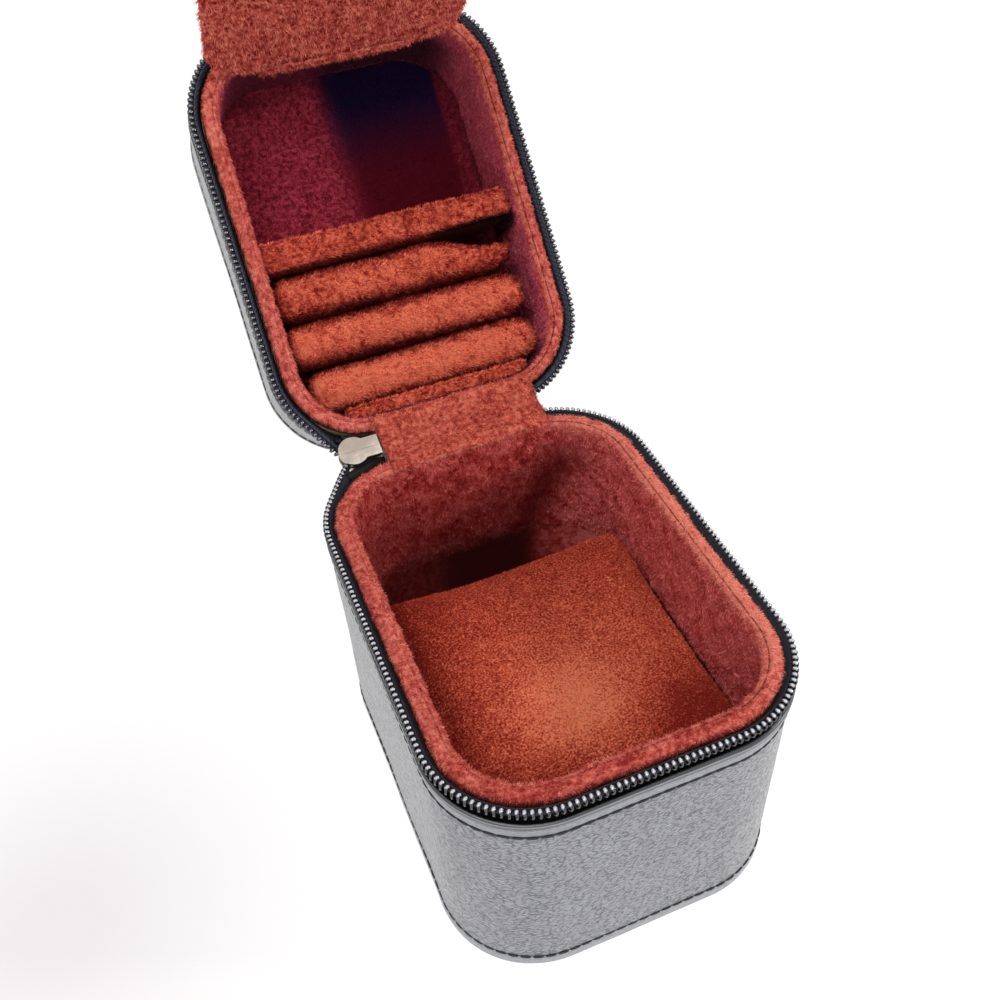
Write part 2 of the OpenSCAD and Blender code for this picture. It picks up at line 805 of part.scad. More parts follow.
module slider_flange(y0) {
    translate([0, y0 + flange_h, 0])
        rotate([90, 0, 0])
            linear_extrude(flange_h)
                difference() {
                    slider_outline(0);
                    slider_outline(slider_plate_t);
                    translate([slider_l / 2 - slider_plate_t, 0])
                        square([2 * slider_plate_t + 0.2, slider_tail_w - 2 * slider_plate_t],
                            center = true);
                    translate([-slider_l / 2, 0])
                        square([slider_l * 0.36, slider_w + 1], center = true);
                }
}

module slider_body() {
    color(silver)
        in_slider() {
            slider_plate(plate_y);
            slider_plate(-plate_y - slider_plate_t);
            slider_flange(plate_y - flange_h);
            slider_flange(-plate_y);
            // Wedge that parts the two rows
            translate([slider_w * 0.25 - slider_l / 2, plate_y, 0])
                rotate([90, 0, 0]) cylinder(h = slider_gap, r = slider_w * 0.14, $fn = FINE);
            // Bridge over the outer plate
            translate([0, plate_y + slider_plate_t, 0])
                linear_extrude(bridge_w, center = true)
                    difference() {
                        bridge_arch(bridge_l, bridge_clear + bridge_t);
                        bridge_arch(bridge_l - 2 * bridge_t, bridge_clear);
                    }
            // Rib along the inner plate
            translate([-slider_l * 0.36, -plate_y - slider_plate_t - 0.15, -0.2])
                cube([slider_l * 0.8, 0.2, 0.4]);
        }
}

// Low arch: a rectangle with rounded top corners, standing on the plate
module bridge_arch(l, h) {
    r = h * 0.6;
    translate([-l / 2, -0.1]) square([l, h - r + 0.1]);
    translate([r - l / 2, -0.1]) square([l - 2 * r, h + 0.1]);
    for (x = [r - l / 2, l / 2 - r])
        translate([x, h - r]) circle(r = r, $fn = FINE);
}

// Stamped tab: a cross pin under the bridge, two cheeks beside it and a long tongue
module pull_tab() {
    cheek = (tab_w - bridge_w) / 2 - tab_clear;
    cheek_l = bridge_l / 2 + tab_clear + tab_t;
    color(silver)
        in_slider()
            translate([0, pivot_y, 0]) {
                cylinder(h = tab_w, r = pin_r, center = true, $fn = FINE);
                for (z = [-1, 1])
                    translate([0, 0, z * (tab_w - cheek) / 2]) {
                        cylinder(h = cheek, r = tab_t / 2 + 0.1, center = true, $fn = FINE);
                        translate([-tab_t / 2, 0, -cheek / 2]) cube([tab_t, cheek_l, cheek]);
                    }
                translate([-tab_t / 2, cheek_l - tab_t, 0])
                    rotate([0, 90, 0])
                        linear_extrude(tab_t)
                            difference() {
                                tongue(tab_l - cheek_l + tab_t, tab_w);
                                translate([0, tab_l - cheek_l - tab_w * 0.55])
                                    circle(d = tab_w * 0.45, $fn = FINE);
                            }
            }
}

// Straight tongue with a round end
module tongue(l, w) {
    translate([-w / 2, 0]) square([w, l - w / 2]);
    translate([0, l - w / 2]) circle(d = w, $fn = 48);
}

base_bottom_leather();
base_wall_leather();
base_floor_board();
base_wall_board();
base_wall_foam();
base_floor_lining();
base_wall_lining();
base_rim_collar();
base_zip_tape();
base_zip_coil();
hinge_lining_strip();
hinge_leather_panel();
watch_cushion_cover();
watch_cushion_core();
lid_top_leather();
lid_wall_leather();
lid_top_board();
lid_wall_board();
lid_wall_foam();
lid_top_lining();
lid_wall_lining();
lid_rim_collar();
lid_zip_tape();
lid_zip_coil();
divider_cover();
divider_board();
ring_roll_1();
ring_roll_2();
ring_roll_3();
ring_roll_cores();
ring_tray_ridge();
flap_strip();
flap_cover();
flap_board();
slider_body();
pull_tab();
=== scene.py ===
"""Dresses the open zip-round travel case: leather shell, suede lining, cushion, ring tray, flap and zip.

Every length is in metres, in the frame's own axes: +Z up, -Y the front, +Y the hinge side.
Each half of the case is drawn with its zip line at height 0 and its depth below, then placed.
"""

import json
import logging
import math
from dataclasses import dataclass, field
from enum import Enum
from typing import Callable, Iterable, Optional, Sequence

import bmesh
import bpy
import numpy as np
from mathutils import Euler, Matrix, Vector

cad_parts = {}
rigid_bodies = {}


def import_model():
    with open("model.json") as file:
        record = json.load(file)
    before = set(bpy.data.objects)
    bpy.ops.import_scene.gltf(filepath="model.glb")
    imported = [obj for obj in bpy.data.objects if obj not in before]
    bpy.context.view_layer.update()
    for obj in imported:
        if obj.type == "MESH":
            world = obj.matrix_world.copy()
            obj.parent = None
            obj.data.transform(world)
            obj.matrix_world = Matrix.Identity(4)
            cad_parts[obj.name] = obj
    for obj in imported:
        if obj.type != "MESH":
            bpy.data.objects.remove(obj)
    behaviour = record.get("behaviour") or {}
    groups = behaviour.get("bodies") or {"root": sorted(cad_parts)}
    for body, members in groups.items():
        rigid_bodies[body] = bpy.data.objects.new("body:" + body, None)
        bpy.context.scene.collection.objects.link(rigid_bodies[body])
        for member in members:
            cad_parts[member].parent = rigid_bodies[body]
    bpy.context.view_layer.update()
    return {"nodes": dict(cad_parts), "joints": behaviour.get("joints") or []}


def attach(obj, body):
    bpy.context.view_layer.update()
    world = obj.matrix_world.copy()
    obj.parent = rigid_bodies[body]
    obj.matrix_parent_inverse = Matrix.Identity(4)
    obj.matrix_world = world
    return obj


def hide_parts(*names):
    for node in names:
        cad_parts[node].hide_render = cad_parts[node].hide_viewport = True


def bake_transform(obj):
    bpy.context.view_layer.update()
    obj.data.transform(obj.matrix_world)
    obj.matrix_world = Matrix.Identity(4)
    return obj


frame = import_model()

MM = 0.001
LOG = logging.getLogger("travel_case")

Colour = tuple[float, float, float]
Rule = Callable[[np.ndarray, np.ndarray], np.ndarray]


# ---------- sizes ----------


@dataclass(frozen=True)
class CaseSizes:
    """The driving sizes of the case, as the frame holds them."""

    width: float = 82 * MM
    length: float = 108.4 * MM
    corner: float = 23 * MM
    base_depth: float = 66.5 * MM
    lid_depth: float = 30 * MM
    wall: float = 6.6 * MM
    lining: float = 0.8 * MM
    floor: float = 3.4 * MM
    tape_reveal: float = 4 * MM
    collar_width: float = 4 * MM

    @property
    def inner_length(self) -> float:
        """Clear length between the linings."""
        return self.length - 2 * self.wall


SIZES = CaseSizes()


def joint(name: str) -> dict:
    """One joint of the frame.

    Args:
        name: The joint's name in the frame.

    Returns:
        The joint's row, with its place, axis and range.
    """
    return next(row for row in frame["joints"] if row["name"] == name)


LID_HINGE = Vector(joint("lid_hinge")["pos_m"])
OPEN_ANGLE = math.radians(132.2)
FLAP_ANGLE = math.radians(104.6)


# ---------- shapes ----------


class Wander:
    """Smooth random values in space, the same on every run."""

    CELLS = 64
    SHIFT = 17.3

    def __init__(self, seed: int) -> None:
        """Fills the lattice from one seed."""
        self.table = np.random.default_rng(seed).uniform(-1, 1, (self.CELLS,) * 3)

    def at(self, points: np.ndarray, size: float) -> np.ndarray:
        """Values at points.

        Args:
            points: Places, one row each.
            size: Distance over which the values change.

        Returns:
            One value from -1 to 1 for each point.
        """
        p = points / size + self.SHIFT
        low = np.floor(p).astype(int)
        part = p - low
        part = part * part * (3 - 2 * part)
        total = np.zeros(len(points))
        for corner in np.ndindex(2, 2, 2):
            share = np.prod(np.where(np.array(corner) == 1, part, 1 - part), axis=1)
            cell = (low + np.array(corner)) % self.CELLS
            total += share * self.table[cell[:, 0], cell[:, 1], cell[:, 2]]
        return total


WANDER = Wander(7)


class Outline:
    """A rounded rectangle round the origin, walked from the back's middle towards the left."""

    def __init__(self, width: float, length: float, corner: float) -> None:
        """Keeps the sizes and the lengths of the nine stretches."""
        self.corner = corner
        self.end = width / 2 - corner
        self.side = length / 2 - corner
        quarter = math.pi * corner / 2
        stretches = [self.end, quarter, 2 * self.side, quarter, 2 * self.end, quarter,
                     2 * self.side, quarter, self.end]
        self.stops = np.concatenate([[0], np.cumsum(stretches)])

    @property
    def total(self) -> float:
        """Length once round."""
        return float(self.stops[-1])

    def at(self, along: np.ndarray) -> tuple[np.ndarray, np.ndarray]:
        """Places and outward directions at distances along the outline.

        Args:
            along: Distances from the back's middle.

        Returns:
            Two arrays of x and y, the places and the outward directions.
        """
        along = np.mod(along, self.total)
        stretch = np.clip(np.searchsorted(self.stops, along, side="right") - 1, 0, 8)
        gone = along - self.stops[stretch]
        turning = stretch % 2 == 1
        heading = math.pi / 2 + (stretch // 2) * math.pi / 2
        heading = np.where(turning, heading + gone / max(self.corner, 1e-9), heading)
        out = np.stack([np.cos(heading), np.sin(heading)], axis=1)
        signs = np.array([[-1, 1], [-1, 1], [-1, 1], [-1, -1], [-1, -1], [1, -1], [1, -1], [1, 1], [1, 1]])
        corner_at = signs[stretch] * np.array([self.end, self.side])
        tangent = np.stack([-out[:, 1], out[:, 0]], axis=1)
        first = np.where(stretch == 0, -self.end, 0)
        walked = np.where(turning, 0, gone + first)[:, None] * tangent
        return corner_at + self.corner * out + walked, out

    def samples(self, step: float) -> np.ndarray:
        """Even distances once round, about a step apart."""
        count = int(round(self.total / step))
        return np.arange(count) * self.total / count


def fillet(corners: Sequence[tuple[float, float, float]], steps: int = 4) -> np.ndarray:
    """Rounds the corners of a flat path.

    Args:
        corners: Points with the radius of each, in millimetres.
        steps: Segments in each rounded corner.

    Returns:
        The rounded path's points, in metres.
    """
    out: list[np.ndarray] = []
    count = len(corners)
    for i, (x, y, radius) in enumerate(corners):
        here = np.array([x, y])
        before = np.array(corners[i - 1][:2]) - here
        after = np.array(corners[(i + 1) % count][:2]) - here
        if radius <= 0:
            out.append(here)
            continue
        reach_before, reach_after = np.linalg.norm(before), np.linalg.norm(after)
        reach = min(radius, reach_before * 0.49, reach_after * 0.49)
        a, b = here + before / reach_before * reach, here + after / reach_after * reach
        for t in np.linspace(0, 1, steps + 1):
            out.append((1 - t) ** 2 * a + 2 * t * (1 - t) * here + t * t * b)
    return np.array(out) * MM


def divided(path: np.ndarray, step: float, closed: bool = True) -> np.ndarray:
    """Splits a path's long stretches.

    Args:
        path: The path's points.
        step: Longest stretch that is left.
        closed: Whether the last point joins the first.

    Returns:
        The path with points put in between.
    """
    pairs = zip(path, np.roll(path, -1, axis=0)) if closed else zip(path[:-1], path[1:])
    out: list[np.ndarray] = []
    for a, b in pairs:
        parts = max(1, int(math.ceil(np.linalg.norm(b - a) / step)))
        out.extend(a + (b - a) * k / parts for k in range(parts))
    if not closed:
        out.append(path[-1])
    return np.array(out)


@dataclass
class Skin:
    """Vertices and faces of one mesh while it is being shaped."""

    points: np.ndarray
    faces: list[tuple[int, ...]]

    def moved(self, change: Callable[[np.ndarray], np.ndarray]) -> "Skin":
        """The same faces with every point passed through a change."""
        return Skin(change(self.points), self.faces)

    def joined(self, other: "Skin") -> "Skin":
        """Both meshes as one."""
        shift = len(self.points)
        faces = self.faces + [tuple(i + shift for i in face) for face in other.faces]
        return Skin(np.concatenate([self.points, other.points]), faces)


def unit(rows: np.ndarray, least: float = 1e-9) -> np.ndarray:
    """Rows scaled to length 1, and by a least length where they are shorter than that."""
    return rows / np.maximum(np.linalg.norm(rows, axis=-1, keepdims=True), least)


def at_height(flat: np.ndarray, height: float) -> np.ndarray:
    """Places as x and y, with one height for all."""
    return np.concatenate([flat, np.full((len(flat), 1), height)], axis=1)


def grid_faces(rows: int, columns: int, rows_close: bool, columns_close: bool) -> list[tuple[int, ...]]:
    """Quads of a grid of points, row by row.

    Args:
        rows: Number of rows.
        columns: Points in a row.
        rows_close: Whether the last row joins the first.
        columns_close: Whether each row is a ring.

    Returns:
        The faces as tuples of indices.
    """
    faces = []
    for i in range(rows if rows_close else rows - 1):
        k = (i + 1) % rows
        for j in range(columns if columns_close else columns - 1):
            m = (j + 1) % columns
            faces.append((i * columns + j, k * columns + j, k * columns + m, i * columns + m))
    return faces


def carried_round(outline: Outline, section: np.ndarray, step: float) -> Skin:
    """Carries a closed section round an outline.

    Args:
        outline: The outline that it follows.
        section: Points as distance outside the outline and height.
        step: Spacing along the outline.

    Returns:
        The closed ring as a skin.
    """
    places, out = outline.at(outline.samples(step))
    flat = places[:, None, :] + out[:, None, :] * section[None, :, :1]
    heights = np.broadcast_to(section[None, :, 1:], flat.shape[:2] + (1,))
    points = np.concatenate([flat, heights], axis=2).reshape(-1, 3)
    return Skin(points, grid_faces(len(places), len(section), True, True))


def along_section(section: np.ndarray, skin: Skin) -> tuple[np.ndarray, np.ndarray]:
    """Distance outside the outline and height of each point of a carried section."""
    rounds = len(skin.points) // len(section)
    return np.tile(section[:, 0], rounds), np.tile(section[:, 1], rounds)


def tube(rows: np.ndarray, ends: np.ndarray, turned: bool = False) -> Skin:
    """Joins rings of points into a tube with a fan at each end.

    Args:
        rows: The rings, each with the same number of points.
        ends: Middle points of the first and the last fan.
        turned: Whether the fans are listed the other way round.

    Returns:
        The closed body as a skin.
    """
    rings, count = rows.shape[:2]
    faces = grid_faces(rings, count, False, True)
    foot, last = count * rings, count * (rings - 1)
    for j in range(count):
        k = (j + 1) % count
        a, b = (k, j) if turned else (j, k)
        faces.append((foot, a, b))
        faces.append((foot + 1, last + b, last + a))
    return Skin(np.concatenate([rows.reshape(-1, 3), ends]), faces)


def carried_along(outline: Outline, section: np.ndarray, along: np.ndarray, push: Rule) -> Skin:
    """Carries a closed section along part of an outline and closes both ends.

    Args:
        outline: The outline that it follows.
        section: Points as distance outside the outline and height.
        along: Distances along the outline, in order.
        push: Extra distance outside for each place and each height of the section.

    Returns:
        The closed length as a skin.
    """
    places, out = outline.at(along)
    outset = section[None, :, 0] + push(along[:, None], section[None, :, 1])
    flat = places[:, None, :] + out[:, None, :] * outset[:, :, None]
    heights = np.broadcast_to(section[None, :, 1:], flat.shape[:2] + (1,))
    rows = np.concatenate([flat, heights], axis=2)
    return tube(rows, rows[[0, -1]].mean(axis=1))


def stacked(outline: Outline, rings: Sequence[tuple[float, float, float]], step: float) -> Skin:
    """Stacks copies of an outline into a closed body with a fan at each end.

    Args:
        outline: The outline of each ring.
        rings: Inset, share of the outline's size, and height of each, from the foot up.
        step: Spacing along the outline.

    Returns:
        The closed body as a skin.
    """
    places, out = outline.at(outline.samples(step))
    layers = [at_height((places - out * inset) * share, height) for inset, share, height in rings]
    return tube(np.stack(layers), np.array([[0, 0, rings[0][2]], [0, 0, rings[-1][2]]]))


def bar(section: np.ndarray, ends: Sequence[tuple[float, float]], step: float) -> Skin:
    """Runs a closed section along X and closes both ends.

    Args:
        section: Points as y and z, round the section's middle.
        ends: Place along X and share of the section's size there, in order.
        step: Spacing along X.

    Returns:
        The closed bar as a skin.
    """
    stations: list[tuple[float, float]] = []
    for (x0, s0), (x1, s1) in zip(ends[:-1], ends[1:]):
        parts = max(1, int(math.ceil(abs(x1 - x0) / step)))
        stations += [(x0 + (x1 - x0) * k / parts, s0 + (s1 - s0) * k / parts) for k in range(parts)]
    stations.append(ends[-1])
    middle = section.mean(axis=0)
    layers = []
    for x, share in stations:
        flat = middle + (section - middle) * share
        layers.append(np.concatenate([np.full((len(flat), 1), x), flat], axis=1))
    caps = np.array([[stations[0][0], *middle], [stations[-1][0], *middle]])
    return tube(np.stack(layers), caps, turned=True)


def lefts_of(line: np.ndarray) -> np.ndarray:
    """Directions to the left of a flat line, one for each point."""
    run = unit(np.gradient(line, axis=0))
    return np.stack([-run[:, 1], run[:, 0]], axis=1)


def ribbon(line: np.ndarray, thickness: float, x0: float, x1: float, step: float) -> Skin:
    """A strip of cloth that follows a line in the YZ plane, with its thickness on the left.

    Args:
        line: Points as y and z.
        thickness: Thickness of the cloth.
        x0: Its left edge.
        x1: Its right edge.
        step: Spacing of its points.

    Returns:
        The closed strip as a skin.
    """
    line = divided(line, step, closed=False)
    loop = np.concatenate([line, (line + lefts_of(line) * thickness)[::-1]])
    return bar(loop, [(x0, 1.0), (x1, 1.0)], step)


# ---------- pieces ----------


def linked(name: str, data: bpy.types.ID) -> bpy.types.Object:
    """A new object in the scene, at the origin."""
    piece = bpy.data.objects.new(name, data)
    bpy.context.scene.collection.objects.link(piece)
    return piece


def made(name: str, skin: Skin) -> bpy.types.Object:
    """Turns a skin into a smooth piece with its faces turned outwards."""
    mesh = bpy.data.meshes.new(name)
    mesh.from_pydata(skin.points.tolist(), [], skin.faces)
    shell = bmesh.new()
    shell.from_mesh(mesh)
    bmesh.ops.recalc_face_normals(shell, faces=shell.faces)
    shell.to_mesh(mesh)
    shell.free()
    mesh.shade_smooth()
    return linked(name, mesh)


def points_of(mesh: bpy.types.Mesh) -> np.ndarray:
    """The mesh's points, one row each."""
    out = np.empty(len(mesh.vertices) * 3)
    mesh.vertices.foreach_get("co", out)
    return out.reshape(-1, 3)


def normals_of(mesh: bpy.types.Mesh) -> np.ndarray:
    """The outward direction at each of the mesh's points."""
    out = np.empty(len(mesh.vertices) * 3)
    mesh.vertex_normals.foreach_get("vector", out)
    return out.reshape(-1, 3)


def set_points(mesh: bpy.types.Mesh, points: np.ndarray) -> None:
    """Moves the mesh's points."""
    mesh.vertices.foreach_set("co", points.ravel())
    mesh.update()


def ruffled(piece: bpy.types.Object, sizes: Iterable[tuple[float, float]]) -> None:
    """Pushes the surface in and out by smooth random amounts.

    Args:
        piece: The piece whose mesh is moved.
        sizes: Width and height of each layer of unevenness.
    """
    points, normals = points_of(piece.data), normals_of(piece.data)
    push = sum(WANDER.at(points, width) * height for width, height in sizes)
    set_points(piece.data, points + normals * push[:, None])


def marked(piece: bpy.types.Object, name: str, values: np.ndarray) -> None:
    """Writes one value for each point under an attribute's name."""
    attribute = piece.data.attributes.new(name, "FLOAT", "POINT")
    attribute.data.foreach_set("value", np.ascontiguousarray(values, dtype=np.float32))


def marks(piece: bpy.types.Object, name: str) -> np.ndarray:
    """Values of an attribute, or zeros where the piece has none."""
    out = np.zeros(len(piece.data.vertices), dtype=np.float32)
    if name in piece.data.attributes:
        piece.data.attributes[name].data.foreach_get("value", out)
    return out


def eased(values: np.ndarray, low: float, high: float) -> np.ndarray:
    """Values taken smoothly from 0 at low to 1 at high, both in millimetres."""
    low, high = low * MM, high * MM
    t = np.clip((values - low) / (high - low), 0, 1)
    return t * t * (3 - 2 * t)


def between(values: np.ndarray, low: float, high: float) -> np.ndarray:
    """Where values lie between two sizes in millimetres."""
    return (values > low * MM) & (values < high * MM)


def highest(*values: np.ndarray) -> np.ndarray:
    """The highest of several values at each point."""
    return np.maximum.reduce(np.broadcast_arrays(*values))


NAP = ((1.1 * MM, 0.07 * MM), (5 * MM, 0.12 * MM))
# Marks of painted light and shade that the fibres take from their ground.
SUEDE_MARKS = ("shade", "painted_deep_shade", "lie")
SQUARE_MM_IN_M = 1e6


@dataclass(frozen=True)
class Pile:
    """Short fibres that stand on suede and lean one way in patches."""

    per_mm2: float = 7.0
    length: float = 0.8 * MM
    width: float = 0.16 * MM
    lean: float = 1.0
    comb: tuple[float, float, float] = (0.1, -0.3, -1.0)
    stray: float = 0.9
    sunk: float = 0.1 * MM
    tuft: float = 1.1 * MM
    most: int = 48000

    def scattered(self, ground: bpy.types.Object, rng: np.random.Generator,
                  keep: Optional[Rule]) -> tuple[np.ndarray, np.ndarray]:
        """Picks the fibres' places on the ground.

        Args:
            ground: The suede piece that they stand on.
            rng: Source of the random draws.
            keep: Share of fibres to keep at each place, from places and outward directions.

        Returns:
            The three points round each fibre, and their weights.
        """
        mesh = ground.data
        mesh.calc_loop_triangles()
        corners = np.empty(len(mesh.loop_triangles) * 3, dtype=np.int32)
        mesh.loop_triangles.foreach_get("vertices", corners)
        corners = corners.reshape(-1, 3)
        points, bare = points_of(mesh), marks(ground, "bare")
        a, b, c = (points[corners[:, k]] for k in range(3))
        cross = np.cross(b - a, c - a)
        area = np.linalg.norm(cross, axis=1) / 2
        share = area * (1 - bare[corners].max(axis=1))
        if keep is not None:
            share = share * keep((a + b + c) / 3, cross / np.maximum(area[:, None] * 2, 1e-12))
        total = share.sum()
        count = min(self.most, int(total * SQUARE_MM_IN_M * self.per_mm2))
        chosen = np.searchsorted(np.cumsum(share), rng.random(count) * total)
        u, v = rng.random(count), rng.random(count)
        fold = u + v > 1
        u[fold], v[fold] = 1 - u[fold], 1 - v[fold]
        weights = np.stack([1 - u - v, u, v], axis=1)[:, :, None]
        return corners[np.minimum(chosen, len(corners) - 1)], weights

    def lying(self, root: np.ndarray, up: np.ndarray, rng: np.random.Generator) -> np.ndarray:
        """Directions of the fibres: up from the ground, leaned the way they are combed."""
        count = len(root)
        layers = []
        for shift in (11.0, 23.0, 37.0):
            at = root + shift * MM
            layers.append(WANDER.at(at, 3 * MM) + 0.6 * WANDER.at(at, 1.2 * MM))
        way = np.stack(layers, axis=1) * self.stray
        way += np.array(self.comb) / np.linalg.norm(self.comb) + rng.normal(0, 0.3, (count, 3))
        way -= up * (way * up).sum(axis=1)[:, None]
        way = unit(way, 0.3)
        return unit(up + way * (self.lean * rng.uniform(0.6, 1.3, count))[:, None])

    def spikes(self, root: np.ndarray, up: np.ndarray, tuft: np.ndarray,
               rng: np.random.Generator) -> np.ndarray:
        """Three foot points and a tip for each fibre.

        Args:
            root: The fibres' places.
            up: The ground's outward direction at each.
            tuft: How far each stands in a tuft, from -1 to 1.
            rng: Source of the random draws.

        Returns:
            Four points for each fibre.
        """
        count = len(root)
        lie = self.lying(root, up, rng)
        reach = self.length * rng.uniform(0.55, 1.25, count) * (1 + 0.4 * tuft)
        side = unit(np.cross(lie, rng.normal(0, 1, (count, 3))))
        other = np.cross(lie, side)
        out = np.empty((count, 4, 3))
        for k in range(3):
            turn = 2 * math.pi * k / 3
            round_by = side * math.cos(turn) + other * math.sin(turn)
            out[:, k] = root - up * self.sunk + round_by * (self.width / 2)
        out[:, 3] = root + lie * reach[:, None]
        return out

    def grow(self, ground: bpy.types.Object, seed: int, keep: Optional[Rule] = None) -> bpy.types.Object:
        """Grows the fibres as one piece.

        Args:
            ground: The suede piece that they stand on.
            seed: Seed of their places.
            keep: Share of fibres to keep at each place, from places and outward directions.

        Returns:
            The piece that holds the fibres, each a closed spike.
        """
        rng = np.random.default_rng(seed)
        chosen, weights = self.scattered(ground, rng, keep)
        count = len(chosen)
        root = (points_of(ground.data)[chosen] * weights).sum(axis=1)
        up = unit((normals_of(ground.data)[chosen] * weights).sum(axis=1))
        tuft = WANDER.at(root, self.tuft)
        spikes = self.spikes(root, up, tuft, rng)
        sides = np.array([[0, 1, 3], [1, 2, 3], [2, 0, 3], [0, 2, 1]])
        faces = (np.arange(count)[:, None, None] * 4 + sides[None]).reshape(-1, 3)
        name = ground.name + "_pile"
        grown = bpy.data.meshes.new(name)
        grown.from_pydata(spikes.reshape(-1, 3).tolist(), [], faces.tolist())
        grown.shade_smooth()
        piece = linked(name, grown)
        strand = rng.uniform(-1, 1, count) * 0.6 + tuft * 0.8
        marked(piece, "tip", np.tile([0.0, 0.0, 0.0, 1.0], count))
        marked(piece, "strand", np.repeat(strand, 4))
        for mark in SUEDE_MARKS:
            own = (marks(ground, mark)[chosen] * weights[:, :, 0]).sum(axis=1)
            marked(piece, mark, np.repeat(own, 4))
        return piece


@dataclass(frozen=True)
class Placing:
    """How a half of the case, or a piece in the lid, is set in the row frame."""

    body: str
    turned_over: bool

    def __call__(self, points: np.ndarray) -> np.ndarray:
        """Points in the row frame.

        Args:
            points: Points with the zip line at height 0.

        Returns:
            The same points in place.
        """
        out = points.copy()
        if not self.turned_over:
            out[:, 2] += SIZES.base_depth
            return out
        out[:, 2] = SIZES.base_depth - out[:, 2]
        y, z = out[:, 1] - LID_HINGE.y, out[:, 2] - LID_HINGE.z
        c, s = math.cos(-OPEN_ANGLE), math.sin(-OPEN_ANGLE)
        out[:, 1] = LID_HINGE.y + y * c - z * s
        out[:, 2] = LID_HINGE.z + y * s + z * c
        return out

    @property
    def centre(self) -> np.ndarray:
        """The middle of the zip line's plane, in the row frame."""
        return self(np.zeros((1, 3)))[0]

    def way(self, x: float, y: float, z: float) -> np.ndarray:
        """One of the half's own directions, in the row frame."""
        return unit(self(np.array([[x * MM, y * MM, z * MM]]))[0] - self.centre)


IN_BASE = Placing("base", False)
IN_LID = Placing("lid", True)
OUT_OF_LID = np.array([0, -0.74, 0.67])
TO_FRONT_OF_LID = np.array([0, -0.67, -0.74])


def evaluated(piece: bpy.types.Object) -> bpy.types.Mesh:
    """A plain mesh of the piece with its modifiers applied."""
    graph = bpy.context.evaluated_depsgraph_get()
    return bpy.data.meshes.new_from_object(piece.evaluated_get(graph), depsgraph=graph)


def settle(piece: bpy.types.Object) -> None:
    """Applies the piece's modifiers to its mesh."""
    mesh = evaluated(piece)
    old, piece.data = piece.data, mesh
    piece.modifiers.clear()
    bpy.data.meshes.remove(old)


def refined(piece: bpy.types.Object) -> None:
    """Splits each face in four and rounds the piece."""
    smooth = piece.modifiers.new("finer", "SUBSURF")
    smooth.levels = smooth.render_levels = 1
    settle(piece)
    piece.data.shade_smooth()


@dataclass(frozen=True)
class Stuffing:
    """How a stuffed cover is blown up before it is shown."""

    voxel: float = 4 * MM
    pressure: float = 4.0
    cap: float = 5 * MM
    frames: int = 20
    plain_share: float = 0.7

    def fill(self, piece: bpy.types.Object) -> None:
        """Swells the piece under pressure as cloth, and keeps the result.

        Args:
            piece: A closed cover, slightly too small.
        """
        remesh = piece.modifiers.new("even_cloth", "REMESH")
        remesh.mode = "VOXEL"
        remesh.voxel_size = self.voxel
        settle(piece)
        rest = points_of(piece.data)
        went = self.swollen(piece, rest)
        set_points(piece.data, rest + went)
        refined(piece)

    def swollen(self, piece: bpy.types.Object, rest: np.ndarray) -> np.ndarray:
        """How far the cloth goes at each point, up to the cap."""
        cloth = piece.modifiers.new("swell", "CLOTH")
        cloth.settings.use_pressure = True
        cloth.settings.uniform_pressure_force = self.pressure
        cloth.settings.effector_weights.gravity = 0
        cloth.point_cache.frame_start = 1
        cloth.point_cache.frame_end = self.frames
        for number in range(1, self.frames + 1):
            bpy.context.scene.frame_set(number)
        settle(piece)
        bpy.context.scene.frame_set(1)
        went = points_of(piece.data) - rest
        reach = np.linalg.norm(went, axis=1)
        return went * np.minimum(1, self.cap / np.maximum(reach, 1e-9))[:, None]


# ---------- finishes ----------


class Nodes:
    """A node tree while it is being put together."""

    def __init__(self, tree: bpy.types.NodeTree) -> None:
        """Keeps the tree."""
        self.tree = tree

    def link(self, value: object, socket: bpy.types.NodeSocket) -> None:
        """Links a socket to an input, or sets the input's value."""
        if isinstance(value, bpy.types.NodeSocket):
            self.tree.links.new(value, socket)
        else:
            socket.default_value = value

    def feed(self, node: bpy.types.Node, name: str, value: object) -> None:
        """Links or sets a node's input by its name."""
        self.link(value, next(s for s in node.inputs if s.name == name and s.enabled))

    def add(self, kind: str, settings: Optional[dict] = None, **inputs: object) -> bpy.types.Node:
        """Adds a node.

        Args:
            kind: The node's type.
            settings: Properties of the node itself.
            inputs: Values or sockets by input name, with _ for a blank.

        Returns:
            The node.
        """
        node = self.tree.nodes.new(kind)
        for key, value in (settings or {}).items():
            setattr(node, key, value)
        for key, value in inputs.items():
            self.feed(node, key.replace("_", " "), value)
        return node

    def listed(self, kind: str, operation: str, *values: object, **inputs: object) -> bpy.types.Node:
        """Adds a maths node and gives it its values in order."""
        node = self.add(kind, {"operation": operation}, **inputs)
        for socket, value in zip(node.inputs, values):
            self.link(value, socket)
        return node

    def maths(self, operation: str, a, b=0.0):
        """Two values put together."""
        return self.listed("ShaderNodeMath", operation, a, b).outputs[0]

    def vectors(self, operation: str, *values: object, **inputs: object):
        """Vectors put together, or one vector scaled."""
        return self.listed("ShaderNodeVectorMath", operation, *values, **inputs)

    def either(self, share, first: bpy.types.NodeSocket, second: bpy.types.NodeSocket):
        """The first shader, and the second as far as its share goes."""
        node = self.add("ShaderNodeMixShader", Fac=share)
        self.link(first, node.inputs[1])
        self.link(second, node.inputs[2])
        return node.outputs[0]


